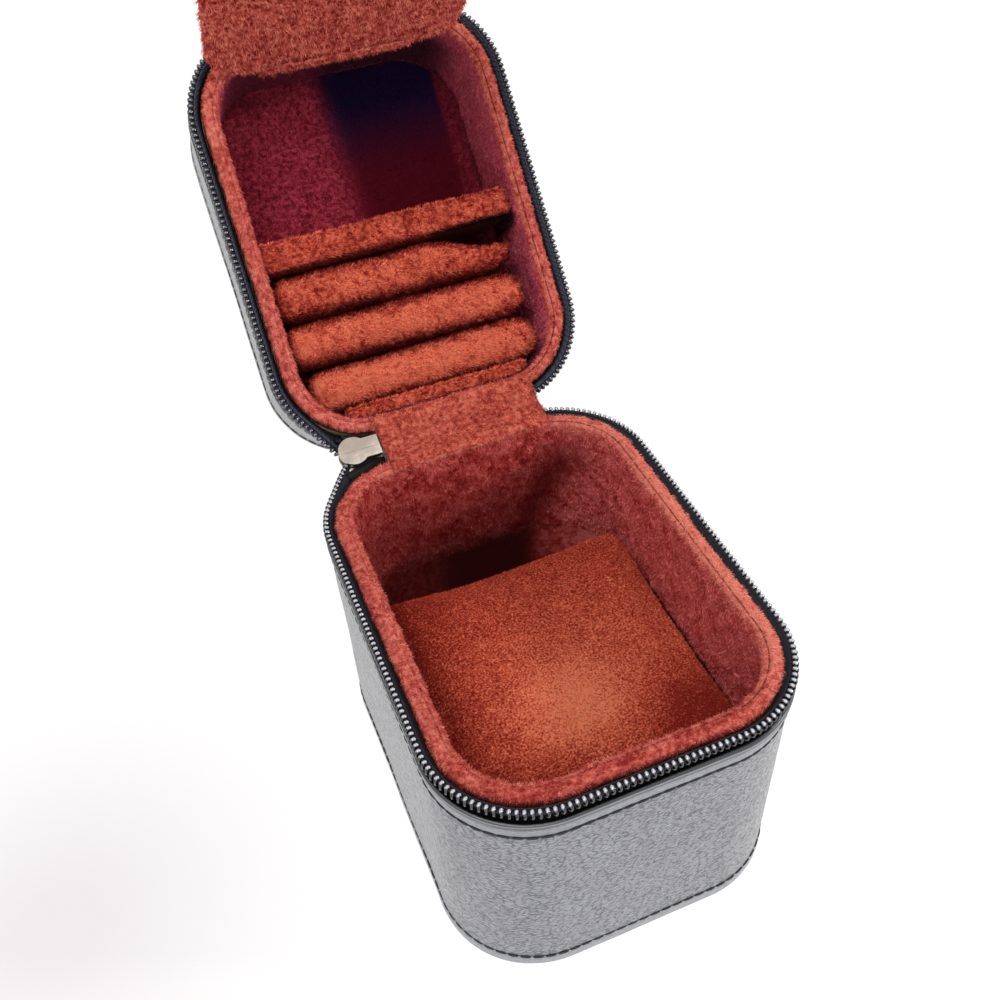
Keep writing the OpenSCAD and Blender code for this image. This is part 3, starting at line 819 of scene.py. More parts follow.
class Surface(Nodes):
    """One material while its nodes are put together."""

    def __init__(self, name: str) -> None:
        """Starts the material with a shader on its output."""
        self.material = bpy.data.materials.new(name)
        self.material.use_nodes = True
        super().__init__(self.material.node_tree)
        self.tree.nodes.clear()
        self.shader = self.add("ShaderNodeBsdfPrincipled")
        self.out = self.add("ShaderNodeOutputMaterial", Surface=self.shader.outputs[0])
        self.place = self.add("ShaderNodeTexCoord").outputs["Object"]

    def stretched(self, scale: tuple[float, float, float], turn: tuple[float, float, float] = (0, 0, 0)):
        """The piece's own coordinates, turned and then stretched."""
        turned = self.add("ShaderNodeMapping", Vector=self.place, Rotation=turn)
        return self.add("ShaderNodeMapping", Vector=turned.outputs[0], Scale=scale).outputs[0]

    def noise(self, size: float, detail: float = 2, rough: float = 0.5, place=None):
        """Grey noise whose features are about a size across."""
        return self.add("ShaderNodeTexNoise", Vector=place or self.place, Scale=1 / size, Detail=detail,
                        Roughness=rough).outputs[0]

    def curve(self, value, stops: Sequence[tuple[float, Colour]]):
        """Colours along a value from 0 to 1."""
        node = self.add("ShaderNodeValToRGB", Fac=value)
        ramp = node.color_ramp
        while len(ramp.elements) < len(stops):
            ramp.elements.new(0.5)
        for element, (place, colour) in zip(ramp.elements, stops):
            element.position = place
            element.color = (*colour, 1)
        return node.outputs["Color"]

    def mottled(self, value, colour: Colour, low: float, high: float, darkest: float, lightest: float):
        """A colour from its darkest share, where a value is low, to its lightest, where it is high."""
        return self.curve(self.level(value, low, high),
                          [(0.0, scaled(colour, darkest)), (1.0, scaled(colour, lightest))])

    def level(self, value, low: float, high: float, to_low: float = 0, to_high: float = 1):
        """A value moved from one range to another, kept inside it."""
        return self.add("ShaderNodeMapRange", Value=value, From_Min=low, From_Max=high,
                        To_Min=to_low, To_Max=to_high).outputs[0]

    def blend(self, share, a, b):
        """Two colours mixed."""
        node = self.add("ShaderNodeMix", {"data_type": "RGBA"}, Factor=share)
        for name, value in (("A", a), ("B", b)):
            socket = next(s for s in node.inputs if s.name == name and s.type == "RGBA")
            self.link(value if isinstance(value, bpy.types.NodeSocket) else (*value, 1), socket)
        return next(s for s in node.outputs if s.type == "RGBA")

    def attribute(self, name: str):
        """A point attribute's value, 0 on pieces that lack it."""
        return self.add("ShaderNodeAttribute", {"attribute_name": name}).outputs["Fac"]

    def bump(self, height, distance: float, strength: float = 1):
        """A bumped normal from a height."""
        return self.add("ShaderNodeBump", Height=height, Distance=distance, Strength=strength).outputs[0]

    def set(self, **inputs: object) -> bpy.types.Material:
        """Sets the shader's inputs and gives the finished material."""
        for key, value in inputs.items():
            self.feed(self.shader, key.replace("_", " "), value)
        return self.material


def srgb(red: float, green: float, blue: float) -> Colour:
    """A colour from 0 to 255 as linear light."""
    def one(value: float) -> float:
        v = value / 255
        return v / 12.92 if v <= 0.04045 else ((v + 0.055) / 1.055) ** 2.4
    return one(red), one(green), one(blue)


def scaled(colour: Colour, by: float) -> Colour:
    """A colour made lighter or darker."""
    return tuple(min(1.0, c * by) for c in colour)


@dataclass(frozen=True)
class Suede:
    """Brushed suede: short pile that lies in lighter and darker patches."""

    name: str
    colour: Colour = srgb(200, 86, 66)
    shade: Colour = srgb(122, 30, 28)
    light: Colour = srgb(232, 124, 98)
    # Colours of painted shade: deep for the shade mark, and the darkest for the deeper painted shade mark.
    deep: Colour = srgb(62, 14, 34)
    painted_deep_shade: Colour = srgb(26, 18, 58)
    patch: float = 6 * MM
    lock: float = 2.4 * MM
    tuft: float = 1.2 * MM
    fibre: float = 0.4 * MM
    contrast: float = 1.0
    mottle: float = 0.3
    # Painted shading along each fibre: darker at its root, lighter at its tip.
    root: float = 0.6
    tip: float = 1.5
    sheen: float = 0.25

    def material(self) -> bpy.types.Material:
        """Builds the material."""
        s = Surface(self.name)
        patches = s.noise(self.patch, 2, 0.55)
        locks = s.noise(self.lock, 2, 0.6, s.stretched((1, 1, 0.55), (0.4, 0.2, 0.3)))
        tufts = s.noise(self.tuft, 2, 0.6)
        fibres = s.noise(self.fibre, 1, 0.6)
        fine = 1 - 2 * self.mottle
        body = s.maths("MULTIPLY", s.maths("ADD", patches, locks), self.mottle)
        # The lie mark is painted light and shade: it moves the colour towards the light or the shade end.
        for value, weight in ((tufts, fine * 0.7), (fibres, fine * 0.3),
                              (s.attribute("strand"), 0.09), (s.attribute("lie"), 0.1)):
            body = s.maths("ADD", body, s.maths("MULTIPLY", value, weight))
        half = 0.13 / max(self.contrast, 0.05)
        spread = s.level(body, 0.5 - half, 0.5 + half)
        colour = s.curve(spread, [(0.0, self.shade), (0.5, self.colour), (1.0, self.light)])
        # Painted shade from the shade mark and the deeper painted shade mark.
        for mark, dark in (("shade", self.deep), ("painted_deep_shade", self.painted_deep_shade)):
            colour = s.blend(s.attribute(mark), colour, dark)
        # Painted shade at the fibres' roots and painted light at their tips.
        painted_fibre_shading = s.level(s.attribute("tip"), 0, 1, self.root, self.tip)
        height = s.maths("ADD", tufts, s.maths("MULTIPLY", fibres, 0.5))
        return s.set(Base_Color=s.vectors("SCALE", colour, Scale=painted_fibre_shading).outputs[0], Roughness=0.95,
                     Specular_IOR_Level=0.1, Sheen_Weight=self.sheen, Sheen_Roughness=0.4,
                     Sheen_Tint=(*scaled(self.colour, 1.6), 1), Normal=s.bump(height, 0.3 * MM, 0.8))


@dataclass(frozen=True)
class Leather:
    """Grained leather with fine creases that run round the case."""

    name: str
    colour: Colour = srgb(154, 156, 161)
    crease: Colour = srgb(20, 21, 25)
    band: Colour = srgb(52, 54, 62)
    # Black for painted shade in the gap under the teeth, in the stitch grooves and on the rolled edge.
    painted_shade: Colour = srgb(6, 6, 9)
    cell: float = 0.95 * MM
    warp: float = 2.4 * MM
    pull: float = 0.9 * MM
    stretch: tuple[float, float, float] = (0.55, 0.55, 1.6)

    def material(self) -> bpy.types.Material:
        """Builds the material."""
        s = Surface(self.name)
        warp = s.add("ShaderNodeTexNoise", Vector=s.place, Scale=1 / self.warp, Detail=2)
        pulled = s.vectors("SCALE", warp.outputs["Color"], Scale=self.pull).outputs[0]
        bent = s.vectors("ADD", s.stretched(self.stretch), pulled).outputs[0]
        cells = s.add("ShaderNodeTexVoronoi", {"feature": "DISTANCE_TO_EDGE"}, Vector=bent,
                      Scale=1 / self.cell)
        creases = s.level(cells.outputs["Distance"], 0.0, 0.2)
        broken = s.level(s.noise(1.8 * MM, 2, 0.6), 0.35, 0.55, 0.45, 1.0)
        smooth = s.attribute("smoothness")
        grain = s.maths("SUBTRACT", 1.0, smooth)
        dull = s.mottled(s.noise(12 * MM, 3, 0.6), self.colour, 0.3, 0.7, 0.88, 1)
        flecks = s.level(s.noise(0.5 * MM, 2, 0.6, bent), 0.35, 0.65, 0.9, 1.12)
        lines = s.maths("MULTIPLY", s.level(creases, 0.9, 0.1, 0.0, 0.85), grain)
        lines = s.maths("MULTIPLY", lines, broken)
        colour = s.blend(lines, s.vectors("SCALE", dull, Scale=flecks).outputs[0], self.crease)
        colour = s.blend(s.level(smooth, 0.7, 1.0), colour, self.band)
        # Painted shade from the mark of the same name.
        colour = s.blend(s.attribute("painted_shade"), colour, self.painted_shade)
        rough = s.level(s.noise(2 * MM, 2), 0.3, 0.7, 0.34, 0.44)
        height = s.maths("MULTIPLY", creases, grain)
        return s.set(Base_Color=colour, Roughness=rough, Specular_IOR_Level=0.5, Coat_Weight=0.4,
                     Coat_Roughness=0.22, Normal=s.bump(height, 0.25 * MM, 1.0))


@dataclass(frozen=True)
class Woven:
    """Dark zip tape in a fine herringbone weave."""

    name: str = "zip_tape"
    colour: Colour = srgb(44, 49, 64)
    # Near black, for the painted shade mark.
    hidden: Colour = (0.0015, 0.0015, 0.002)
    picks: float = 320

    def material(self) -> bpy.types.Material:
        """Builds the material."""
        s = Surface(self.name)
        threads = s.noise(0.3 * MM, 1, 0.5, s.stretched((1, 1, 0.5)))
        picks = s.add("ShaderNodeTexWave", {"bands_direction": "Z"}, Vector=s.place, Scale=self.picks,
                      Distortion=1.5).outputs[0]
        height = s.maths("ADD", threads, s.maths("MULTIPLY", picks, 0.5))
        colour = s.mottled(height, self.colour, 0.5, 1.0, 0.35, 1.5)
        # The shade mark darkens the weave towards near black: painted shade.
        return s.set(Base_Color=s.blend(s.attribute("shade"), colour, self.hidden), Roughness=0.75,
                     Specular_IOR_Level=0.3, Normal=s.bump(height, 0.12 * MM, 0.8))


@dataclass(frozen=True)
class Gloss:
    """A hard, smooth finish with faint marks, such as nylon or plated metal."""

    name: str
    colour: Colour
    roughness: float = 0.25
    metal: float = 0.0
    scuff: float = 2 * MM
    gloss: float = 0.5
    # Colour of a painted glint, laid where the piece carries the glint mark.
    painted_glint: Optional[Colour] = None

    def with_painted_light(self, s: Surface, colour: bpy.types.NodeSocket) -> bpy.types.NodeSocket:
        """The colour with a painted glint where the piece carries the glint mark."""
        if self.painted_glint is None:
            return colour
        return s.blend(s.level(s.attribute("painted_glint"), 0.4, 1.0), colour, self.painted_glint)

    def material(self) -> bpy.types.Material:
        """Builds the material."""
        s = Surface(self.name)
        scuffs = s.noise(self.scuff, 3, 0.6)
        colour = self.with_painted_light(s, s.mottled(scuffs, self.colour, 0.3, 0.7, 0.9, 1.08))
        rough = s.level(scuffs, 0.3, 0.7, self.roughness * 0.8, self.roughness * 1.2)
        return s.set(Base_Color=colour, Roughness=rough, Metallic=self.metal,
                     Specular_IOR_Level=self.gloss)


@dataclass(frozen=True)
class Plated(Gloss):
    """The slider's plating, with painted shade towards its right and in a line beside the rib on top, and a
    painted highlight on the rib.
    """

    across: tuple[float, float, float] = (0.0052, 1.0, 0)
    rib: float = 53.049 * MM
    rib_half: float = 0.35 * MM
    line: float = 0.45 * MM
    plate: tuple[float, float] = (68.6 * MM, 69 * MM)
    shine: Colour = (1, 0.98, 0.94)

    def with_painted_light(self, s: Surface, colour: bpy.types.NodeSocket) -> bpy.types.NodeSocket:
        """The colour with a painted highlight on the rib, and painted shade beside it and towards the right.
        """
        off = s.maths("SUBTRACT", s.vectors("DOT_PRODUCT", s.place, self.across).outputs["Value"], self.rib)
        parts = s.add("ShaderNodeSeparateXYZ", Vector=s.place)
        on_top = s.level(parts.outputs["Z"], *self.plate)
        side = s.level(s.maths("ADD", off, s.maths("MULTIPLY", parts.outputs["X"], -0.5)), 9 * MM, 16 * MM)
        colour = s.blend(s.level(side, 0.0, 1.0, 0.2, 0.75), colour, scaled(self.colour, 0.4))
        near = s.level(s.maths("ABSOLUTE", s.maths("SUBTRACT", off, self.line)), 0.3 * MM, 0.15 * MM)
        near = s.maths("MULTIPLY", near, s.maths("MULTIPLY", on_top, 0.35))
        colour = s.blend(near, colour, scaled(self.colour, 0.25))
        ridge = s.level(s.maths("ABSOLUTE", off), self.rib_half, 0.2 * MM)
        return s.blend(s.maths("MULTIPLY", ridge, on_top), colour, self.shine)


@dataclass(frozen=True)
class Matt:
    """A plain mottled finish for board, foam and thread."""

    name: str
    colour: Colour
    fleck: float = 0.8 * MM
    roughness: float = 0.85

    def material(self) -> bpy.types.Material:
        """Builds the material."""
        s = Surface(self.name)
        flecks = s.noise(self.fleck, 4, 0.7)
        return s.set(Base_Color=s.mottled(flecks, self.colour, 0.3, 0.7, 0.75, 1.15),
                     Roughness=self.roughness, Normal=s.bump(flecks, 0.1 * MM, 0.6))


class Slot(Enum):
    """Names of the record's material slots."""

    LEATHER = "black_leather"
    SUEDE = "red_suede"
    TAPE = "zip_tape"
    TEETH = "zip_teeth"


@dataclass
class Wardrobe:
    """Every finish of the case, each built once."""

    finishes: dict[str, bpy.types.Material] = field(default_factory=dict)

    def get(self, finish) -> bpy.types.Material:
        """The material of a finish."""
        if finish.name not in self.finishes:
            self.finishes[finish.name] = finish.material()
        return self.finishes[finish.name]


WARDROBE = Wardrobe()
COLLAR_SUEDE = Suede("collar_suede", colour=srgb(218, 102, 90), light=srgb(250, 150, 128),
                     shade=srgb(158, 46, 42), deep=srgb(66, 8, 16), contrast=1.1, mottle=0.15)
# Darker, redder copy of the suede for the base's walls: painted shade.
WALL_SUEDE = Suede("wall_suede", colour=srgb(212, 80, 74), shade=srgb(148, 26, 26),
                   light=srgb(248, 128, 124), deep=srgb(104, 3, 8), painted_deep_shade=srgb(10, 2, 4),
                   tuft=1.4 * MM, contrast=1.4, mottle=0.25)
# Bluer copy of the suede for the lid's walls: painted shade.
LID_WALL_SUEDE = Suede("lid_wall_suede", colour=srgb(228, 96, 116), shade=srgb(170, 54, 82),
                       light=srgb(250, 130, 142), deep=srgb(104, 26, 54), painted_deep_shade=srgb(18, 8, 26), contrast=0.9,
                       mottle=0.2)
# Darker and bluer copy of the suede for the pocket floor: painted shade.
FLOOR_SUEDE = Suede("pocket_suede", colour=srgb(158, 42, 60), shade=srgb(106, 18, 38),
                    light=srgb(188, 70, 86), deep=srgb(104, 14, 36), painted_deep_shade=srgb(28, 18, 62),
                    contrast=1.3, mottle=0.1)
CUSHION_SUEDE = Suede("cushion_suede", colour=srgb(208, 84, 62), shade=srgb(132, 32, 22),
                      light=srgb(255, 146, 106), deep=srgb(70, 6, 6), tuft=0.5 * MM, contrast=1.15,
                      mottle=0.08)
TRAY_SUEDE = Suede("tray_suede", colour=srgb(200, 78, 60), shade=srgb(130, 30, 24),
                   light=srgb(238, 124, 94), deep=srgb(76, 6, 12), painted_deep_shade=srgb(4, 1, 6), contrast=1.5,
                   mottle=0.2, sheen=0.08)
# Lighter copy of the suede for the flap, which faces away from the lamps: painted light.
FLAP_SUEDE = Suede("flap_suede", colour=srgb(228, 98, 84), shade=srgb(146, 36, 38),
                   light=srgb(255, 154, 132), contrast=1.4, mottle=0.1)
# Lighter copy of the suede for the strip, which lies in low light: painted light.
STRIP_SUEDE = Suede("strip_suede", colour=srgb(212, 96, 78), shade=srgb(150, 42, 36),
                    light=srgb(242, 138, 114), contrast=1.2, mottle=0.15)
SHELL_LEATHER = Leather("shell_leather")
TAPE_WEAVE = Woven()
NYLON = Gloss("coil_nylon", srgb(7, 7, 11), 0.12, gloss=0.9, painted_glint=srgb(196, 199, 206))
THREAD = Matt("black_thread", srgb(5, 5, 6), 0.3 * MM, 0.6)
PLATED = Plated("plated_slider", srgb(222, 208, 196), 0.24, 1.0)
BOARD = Matt("grey_board", srgb(150, 144, 134))
FOAM = Matt("yellow_foam", srgb(226, 214, 170), 0.5 * MM)


def dressed(piece: bpy.types.Object, finish, body: Optional[str] = None,
            nodes: Sequence[str] = ()) -> bpy.types.Object:
    """Gives a piece its finish, its body and the nodes that it stands for.

    Args:
        piece: The piece.
        finish: Its finish.
        body: The body that it rides on, if it rides on one.
        nodes: CAD nodes that it replaces.

    Returns:
        The piece.
    """
    piece.data.materials.clear()
    piece.data.materials.append(WARDROBE.get(finish))
    if nodes:
        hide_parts(*nodes)
    if body:
        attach(piece, body)
    LOG.info("%s: %d faces, on %s", piece.name, len(piece.data.polygons), body)
    return piece


COLLAR_PILE = Pile(per_mm2=8.0, length=0.75 * MM, width=0.18 * MM, lean=1.1)
WALL_PILE = Pile(per_mm2=4.2, length=1.2 * MM, width=0.24 * MM, lean=1.7)
FLOOR_PILE = Pile(per_mm2=4.0, length=0.9 * MM, width=0.24 * MM, lean=1.2, comb=(0.1, 0.4, 0.4))
TRAY_PILE = Pile(per_mm2=7.0, length=1.1 * MM, width=0.2 * MM, lean=0.9, comb=(0.5, -0.3, 0.3))
FLAP_PILE = Pile(per_mm2=5.0, length=1.2 * MM, width=0.26 * MM, lean=1.1, comb=(0.15, 0, -1.0))
CUSHION_PILE = Pile(per_mm2=7.0, length=0.5 * MM, width=0.17 * MM, lean=1.0, comb=(0.2, -0.6, 0))
STRIP_PILE = Pile(per_mm2=7.0, length=0.8 * MM, width=0.2 * MM, comb=(0.2, -0.5, -0.5))


def piled(ground: bpy.types.Object, pile: Pile, finish, seed: int, body: Optional[str],
          keep: Optional[Rule] = None) -> bpy.types.Object:
    """Grows pile on a piece and dresses it.

    Args:
        ground: The suede piece.
        pile: The fibres' sizes.
        finish: The suede's finish.
        seed: Seed of the fibres' places.
        body: The body that they ride on, if they ride on one.
        keep: Share of fibres to keep at each place.

    Returns:
        The fibres' piece.
    """
    return dressed(pile.grow(ground, seed, keep), finish, body)


# ---------- repeats along a path ----------


class Repeat(Nodes):
    """A Geometry Nodes tree that sets one shape along a path at an even pitch."""

    def __init__(self, name: str) -> None:
        """Makes the tree with a path, a pitch and a material as its first inputs."""
        super().__init__(bpy.data.node_groups.new(name, "GeometryNodeTree"))
        self.ids: dict[str, str] = {}
        self.socket("Path", "NodeSocketGeometry")
        self.socket("Pitch", "NodeSocketFloat")
        self.socket("Material", "NodeSocketMaterial")
        self.tree.interface.new_socket("Row", in_out="OUTPUT", socket_type="NodeSocketGeometry")
        self.start = self.tree.nodes.new("NodeGroupInput")
        self.end = self.tree.nodes.new("NodeGroupOutput")

    def socket(self, name: str, kind: str) -> None:
        """Adds a named input."""
        made_socket = self.tree.interface.new_socket(name, in_out="INPUT", socket_type=kind)
        self.ids[name] = made_socket.identifier

    def given(self, name: str) -> bpy.types.NodeSocket:
        """The tree's own input of a name."""
        return next(s for s in self.start.outputs if s.name == name)

    def vector(self, x, y, z) -> bpy.types.NodeSocket:
        """Three values as one vector."""
        return self.add("ShaderNodeCombineXYZ", X=x, Y=y, Z=z).outputs[0]

    def shape(self) -> bpy.types.NodeSocket:
        """The shape that is repeated, its X along the path."""
        raise NotImplementedError

    def build(self) -> "Repeat":
        """Links path, shape and output."""
        path = self.add("GeometryNodeMeshToCurve", Mesh=self.given("Path"))
        even = self.add("GeometryNodeResampleCurve", {"mode": "LENGTH"},
                        Curve=path.outputs[0], Length=self.given("Pitch"))
        along = self.add("GeometryNodeInputTangent")
        turn = self.add("FunctionNodeAlignRotationToVector", {"axis": "X", "pivot_axis": "Z"},
                        Vector=along.outputs[0])
        row = self.add("GeometryNodeInstanceOnPoints", Points=even.outputs[0],
                       Instance=self.shape(), Rotation=turn.outputs[0])
        real = self.add("GeometryNodeRealizeInstances", Geometry=row.outputs[0])
        smooth = self.add("GeometryNodeSetShadeSmooth", Geometry=real.outputs[0])
        covered = self.add("GeometryNodeSetMaterial", Geometry=smooth.outputs[0],
                           Material=self.given("Material"))
        self.tree.links.new(covered.outputs[0], self.end.inputs[0])
        return self

    def run(self, name: str, path: np.ndarray, closed: bool, **values: object) -> bpy.types.Object:
        """Bakes the row along a path into a plain piece.

        Args:
            name: Name of the piece.
            path: Points of the path.
            closed: Whether the path is a ring.
            values: The tree's inputs by name, with _ for a blank.

        Returns:
            The new piece.
        """
        mesh = bpy.data.meshes.new(name + "_path")
        count = len(path)
        edges = [(i, (i + 1) % count) for i in range(count if closed else count - 1)]
        mesh.from_pydata(path.tolist(), edges, [])
        guide = linked(name + "_path", mesh)
        modifier = guide.modifiers.new("repeat", "NODES")
        modifier.node_group = self.tree
        for key, value in values.items():
            modifier[self.ids[key.replace("_", " ")]] = value
        row = linked(name, evaluated(guide))
        bpy.data.objects.remove(guide)
        return row


class CoilRow(Repeat):
    """A row of coil teeth: slanted loops of thick nylon wire, thicker at the upper and lower bead."""

    AROUND = 10
    WIRE_SIDES = 6

    def shape(self) -> bpy.types.NodeSocket:
        """One loop, upright across the path."""
        for name in ("Depth", "Height", "Wire", "Head", "Slant"):
            self.socket(name, "NodeSocketFloat")
        loop = self.add("GeometryNodeCurvePrimitiveCircle", Resolution=self.AROUND, Radius=0.5)
        upright = self.add("GeometryNodeTransform", Geometry=loop.outputs[0],
                           Rotation=(math.pi / 2, 0, math.pi / 2))
        size = self.vector(1.0, self.given("Depth"), self.given("Height"))
        sized = self.add("GeometryNodeTransform", Geometry=upright.outputs[0], Scale=size)
        wire = self.add("GeometryNodeCurvePrimitiveCircle", Resolution=self.WIRE_SIDES,
                        Radius=self.maths("MULTIPLY", self.given("Wire"), 0.5))
        place = self.add("ShaderNodeSeparateXYZ", Vector=self.add("GeometryNodeInputPosition").outputs[0])
        share = self.maths("DIVIDE", self.maths("ABSOLUTE", place.outputs["Z"]), self.given("Height"))
        beaded = self.add("ShaderNodeMapRange", Value=share, From_Min=0.1, From_Max=0.45,
                          To_Min=0.62, To_Max=1.3)
        solid = self.add("GeometryNodeCurveToMesh", Curve=sized.outputs[0],
                         Profile_Curve=wire.outputs[0], Scale=beaded.outputs[0])
        spread = self.add("GeometryNodeTransform", Geometry=solid.outputs[0],
                          Scale=self.vector(self.given("Head"), 1.0, 1.0))
        return self.add("GeometryNodeTransform", Geometry=spread.outputs[0],
                        Rotation=self.vector(0.0, 0.0, self.given("Slant"))).outputs[0]


class StitchRow(Repeat):
    """A row of stitches: short lengths of thread that dip at both ends."""

    def shape(self) -> bpy.types.NodeSocket:
        """One stitch along the path."""
        for name in ("Length", "Thread"):
            self.socket(name, "NodeSocketFloat")
        ball = self.add("GeometryNodeMeshUVSphere", Segments=8, Rings=6, Radius=0.5)
        size = self.vector(self.given("Length"), self.given("Thread"), self.given("Thread"))
        return self.add("GeometryNodeTransform", Geometry=ball.outputs[0], Scale=size).outputs[0]


# ---------- the two halves ----------


@dataclass
class CaseHalf:
    """One half of the case: leather wall, zip tape, teeth, stitches, collar and lining."""

    name: str
    depth: float
    placing: Placing
    row_shift: float
    coil: CoilRow
    stitch: StitchRow
    outline: Outline = field(default_factory=lambda: Outline(SIZES.width, SIZES.length, SIZES.corner))
    step: float = 1.2 * MM
    tooth_pitch: float = 1.45 * MM
    tooth_drop: float = 1.35 * MM
    tooth_in: float = 0.25 * MM
    slider_x: float = 28.6 * MM
    stop_x: float = 24 * MM
    hidden_x: float = 20 * MM
    swing_run: float = 12 * MM
    swing_by: float = 3.3 * MM
    stitch_pitch: float = 2.9 * MM
    seam_drop: float = 9.8 * MM
    foot_seam: float = 3.4 * MM
    collar_pile_depth: float = 2.2 * MM
    pile_depth: float = 23.2 * MM
    deeper_in_sight: float = 14 * MM
    deeper_in_pocket: float = 3 * MM

    def placed(self, name: str, skin: Skin, unevenness: Iterable[tuple[float, float]] = ()):
        """Makes a piece of the half, uneven as asked, set in the row frame."""
        piece = made(self.name + name, skin.moved(self.placing))
        if unevenness:
            ruffled(piece, unevenness)
        return piece

    def into_place(self, row: bpy.types.Object) -> None:
        """Sets a baked row in the row frame, its faces turned out again where it was turned over."""
        set_points(row.data, self.placing(points_of(row.data)))
        if self.placing.turned_over:
            row.data.flip_normals()

    def wall_leather(self) -> None:
        """Leather round the wall: foot band, stitch grooves and the folded upper edge."""
        foot = -self.depth / MM
        section = divided(fillet([
            (-1.2, foot, 0), (0.3, foot, 0.9), (0.3, foot + 2.9, 0.3), (-0.15, foot + 3.2, 0.15),
            (-0.15, foot + 3.6, 0.1), (0, foot + 3.9, 0.2), (0, -10.4, 0.2), (-0.25, -10.1, 0.1),
            (-0.25, -9.6, 0.1), (0.05, -9.3, 0.2), (0.1, -7.1, 0.2), (-0.3, -6.8, 0.15),
            (-0.3, -6.5, 0.15), (0.55, -6.3, 0.6), (0.55, -4.6, 0.8), (-0.4, -4.5, 0.4),
            (-0.7, -5.2, 0), (-1.2, -9.5, 0),
        ]), 1.8 * MM)
        skin = carried_round(self.outline, section, self.step)
        piece = self.placed("_outer_leather", skin, ((18 * MM, 0.18 * MM), (5 * MM, 0.05 * MM)))
        outset, height = along_section(section, skin)
        band = (height > -9.9 * MM) | (height < 3.7 * MM - self.depth)
        rolled = between(height, -6.5, -4.4) & (outset > 0)
        # A thin ring of the rolled edge keeps less of the dark band colour: a painted highlight.
        painted_highlight_ring = rolled & between(height, -5.2, -4.95)
        smooth = np.where(band, 0.72, 0.0)
        smooth[rolled], smooth[painted_highlight_ring] = 1.0, 0.75
        marked(piece, "smoothness", smooth)
        # Painted shade: black in the gap under the teeth, darker in the stitch grooves, and darker on the
        # rolled edge beside its painted highlight.
        groove = between(outset, -0.35, -0.1)
        turned_in = (height > -6 * MM) & (outset < 0.0)
        marked(piece, "painted_shade", np.where(turned_in, 1.0, np.maximum(groove * 0.9, 0.5 * rolled * ~painted_highlight_ring)))
        dressed(piece, SHELL_LEATHER, self.placing.body, [self.name + "_wall_leather"])

    def seams(self) -> None:
        """Stitches below the folded edge and above the foot."""
        rows = {"_upper_stitches": (-self.seam_drop, -0.02 * MM),
                "_foot_stitches": (self.foot_seam - self.depth, 0.02 * MM)}
        for name, (height, out_by) in rows.items():
            places, out = self.outline.at(self.outline.samples(1 * MM))
            piece = self.stitch.run(self.name + name, at_height(places + out * out_by, height), True,
                                    Pitch=self.stitch_pitch, Length=2.7 * MM, Thread=0.55 * MM,
                                    Material=WARDROBE.get(THREAD))
            self.into_place(piece)
            dressed(piece, THREAD, self.placing.body)

    @property
    def zip_start(self) -> float:
        """Distance along the outline at which the teeth leave the slider."""
        return self.corner_run(self.slider_x)

    @property
    def zip_stop(self) -> float:
        """Distance along the outline of the teeth's end stop."""
        return self.outline.total - self.corner_run(self.stop_x)

    def corner_run(self, x: float) -> float:
        """Distance along the outline from the back's middle to a place in the corner."""
        return self.outline.end + self.outline.corner * math.asin(
            (x - self.outline.end) / self.outline.corner)

    def swing(self, along: np.ndarray, shift: float = 0.0) -> np.ndarray:
        """How far the zip stands out of the wall where it meets the slider."""
        near = np.clip(1 - (along - self.zip_start - shift) / self.swing_run, 0, 1)
        return self.swing_by * near * near

    def zip_path(self, shift: float) -> np.ndarray:
        """The line of the teeth's middles, for a row that starts late by a shift."""
        along = np.arange(self.zip_start + shift, self.zip_stop, 0.5 * MM)
        places, out = self.outline.at(along)
        flat = places + out * (self.swing(along, shift) - self.tooth_in)[:, None]
        return at_height(flat, -self.tooth_drop)

    def teeth(self) -> None:
        """The row of coil teeth."""
        path = self.zip_path(self.row_shift * self.tooth_pitch)
        piece = self.coil.run(self.name + "_teeth", path, False, Pitch=self.tooth_pitch,
                              Depth=1.5 * MM, Height=1.7 * MM, Wire=0.55 * MM, Head=1.35,
                              Slant=0.35, Material=WARDROBE.get(NYLON))
        # A painted glint on the bead crowns, weaker on the lid's row.
        brightness = 0.55 if self.placing.turned_over else 1
        marked(piece, "painted_glint", brightness * self.crowns(points_of(piece.data)))
        self.into_place(piece)
        dressed(piece, NYLON, self.placing.body, [self.name + "_zip_coil"])

    def crowns(self, points: np.ndarray) -> np.ndarray:
        """Where the teeth get a painted glint: the crowns of the upper and lower beads.

        Args:
            points: The row's points, tooth by tooth.

        Returns:
            A value from 0 to 1 for each point.
        """
        teeth = points.reshape(-1, CoilRow.AROUND * CoilRow.WIRE_SIDES, 3)
        centre = teeth.mean(axis=1, keepdims=True)
        off, flat = teeth - centre, centre[..., :2]
        out = np.sign(flat) * np.maximum(np.abs(flat) - [self.outline.end, self.outline.side], 0)
        across, up = np.abs((off[..., :2] * unit(out)).sum(axis=2)), off[..., 2]
        top = np.hypot(across - 0.45 * MM, up - 1.0 * MM)
        low = np.hypot(across - 0.95 * MM, up + 0.4 * MM)
        return np.maximum(eased(-top, -0.4, -0.1), 0.75 * eased(-low, -0.36, -0.1)).ravel()

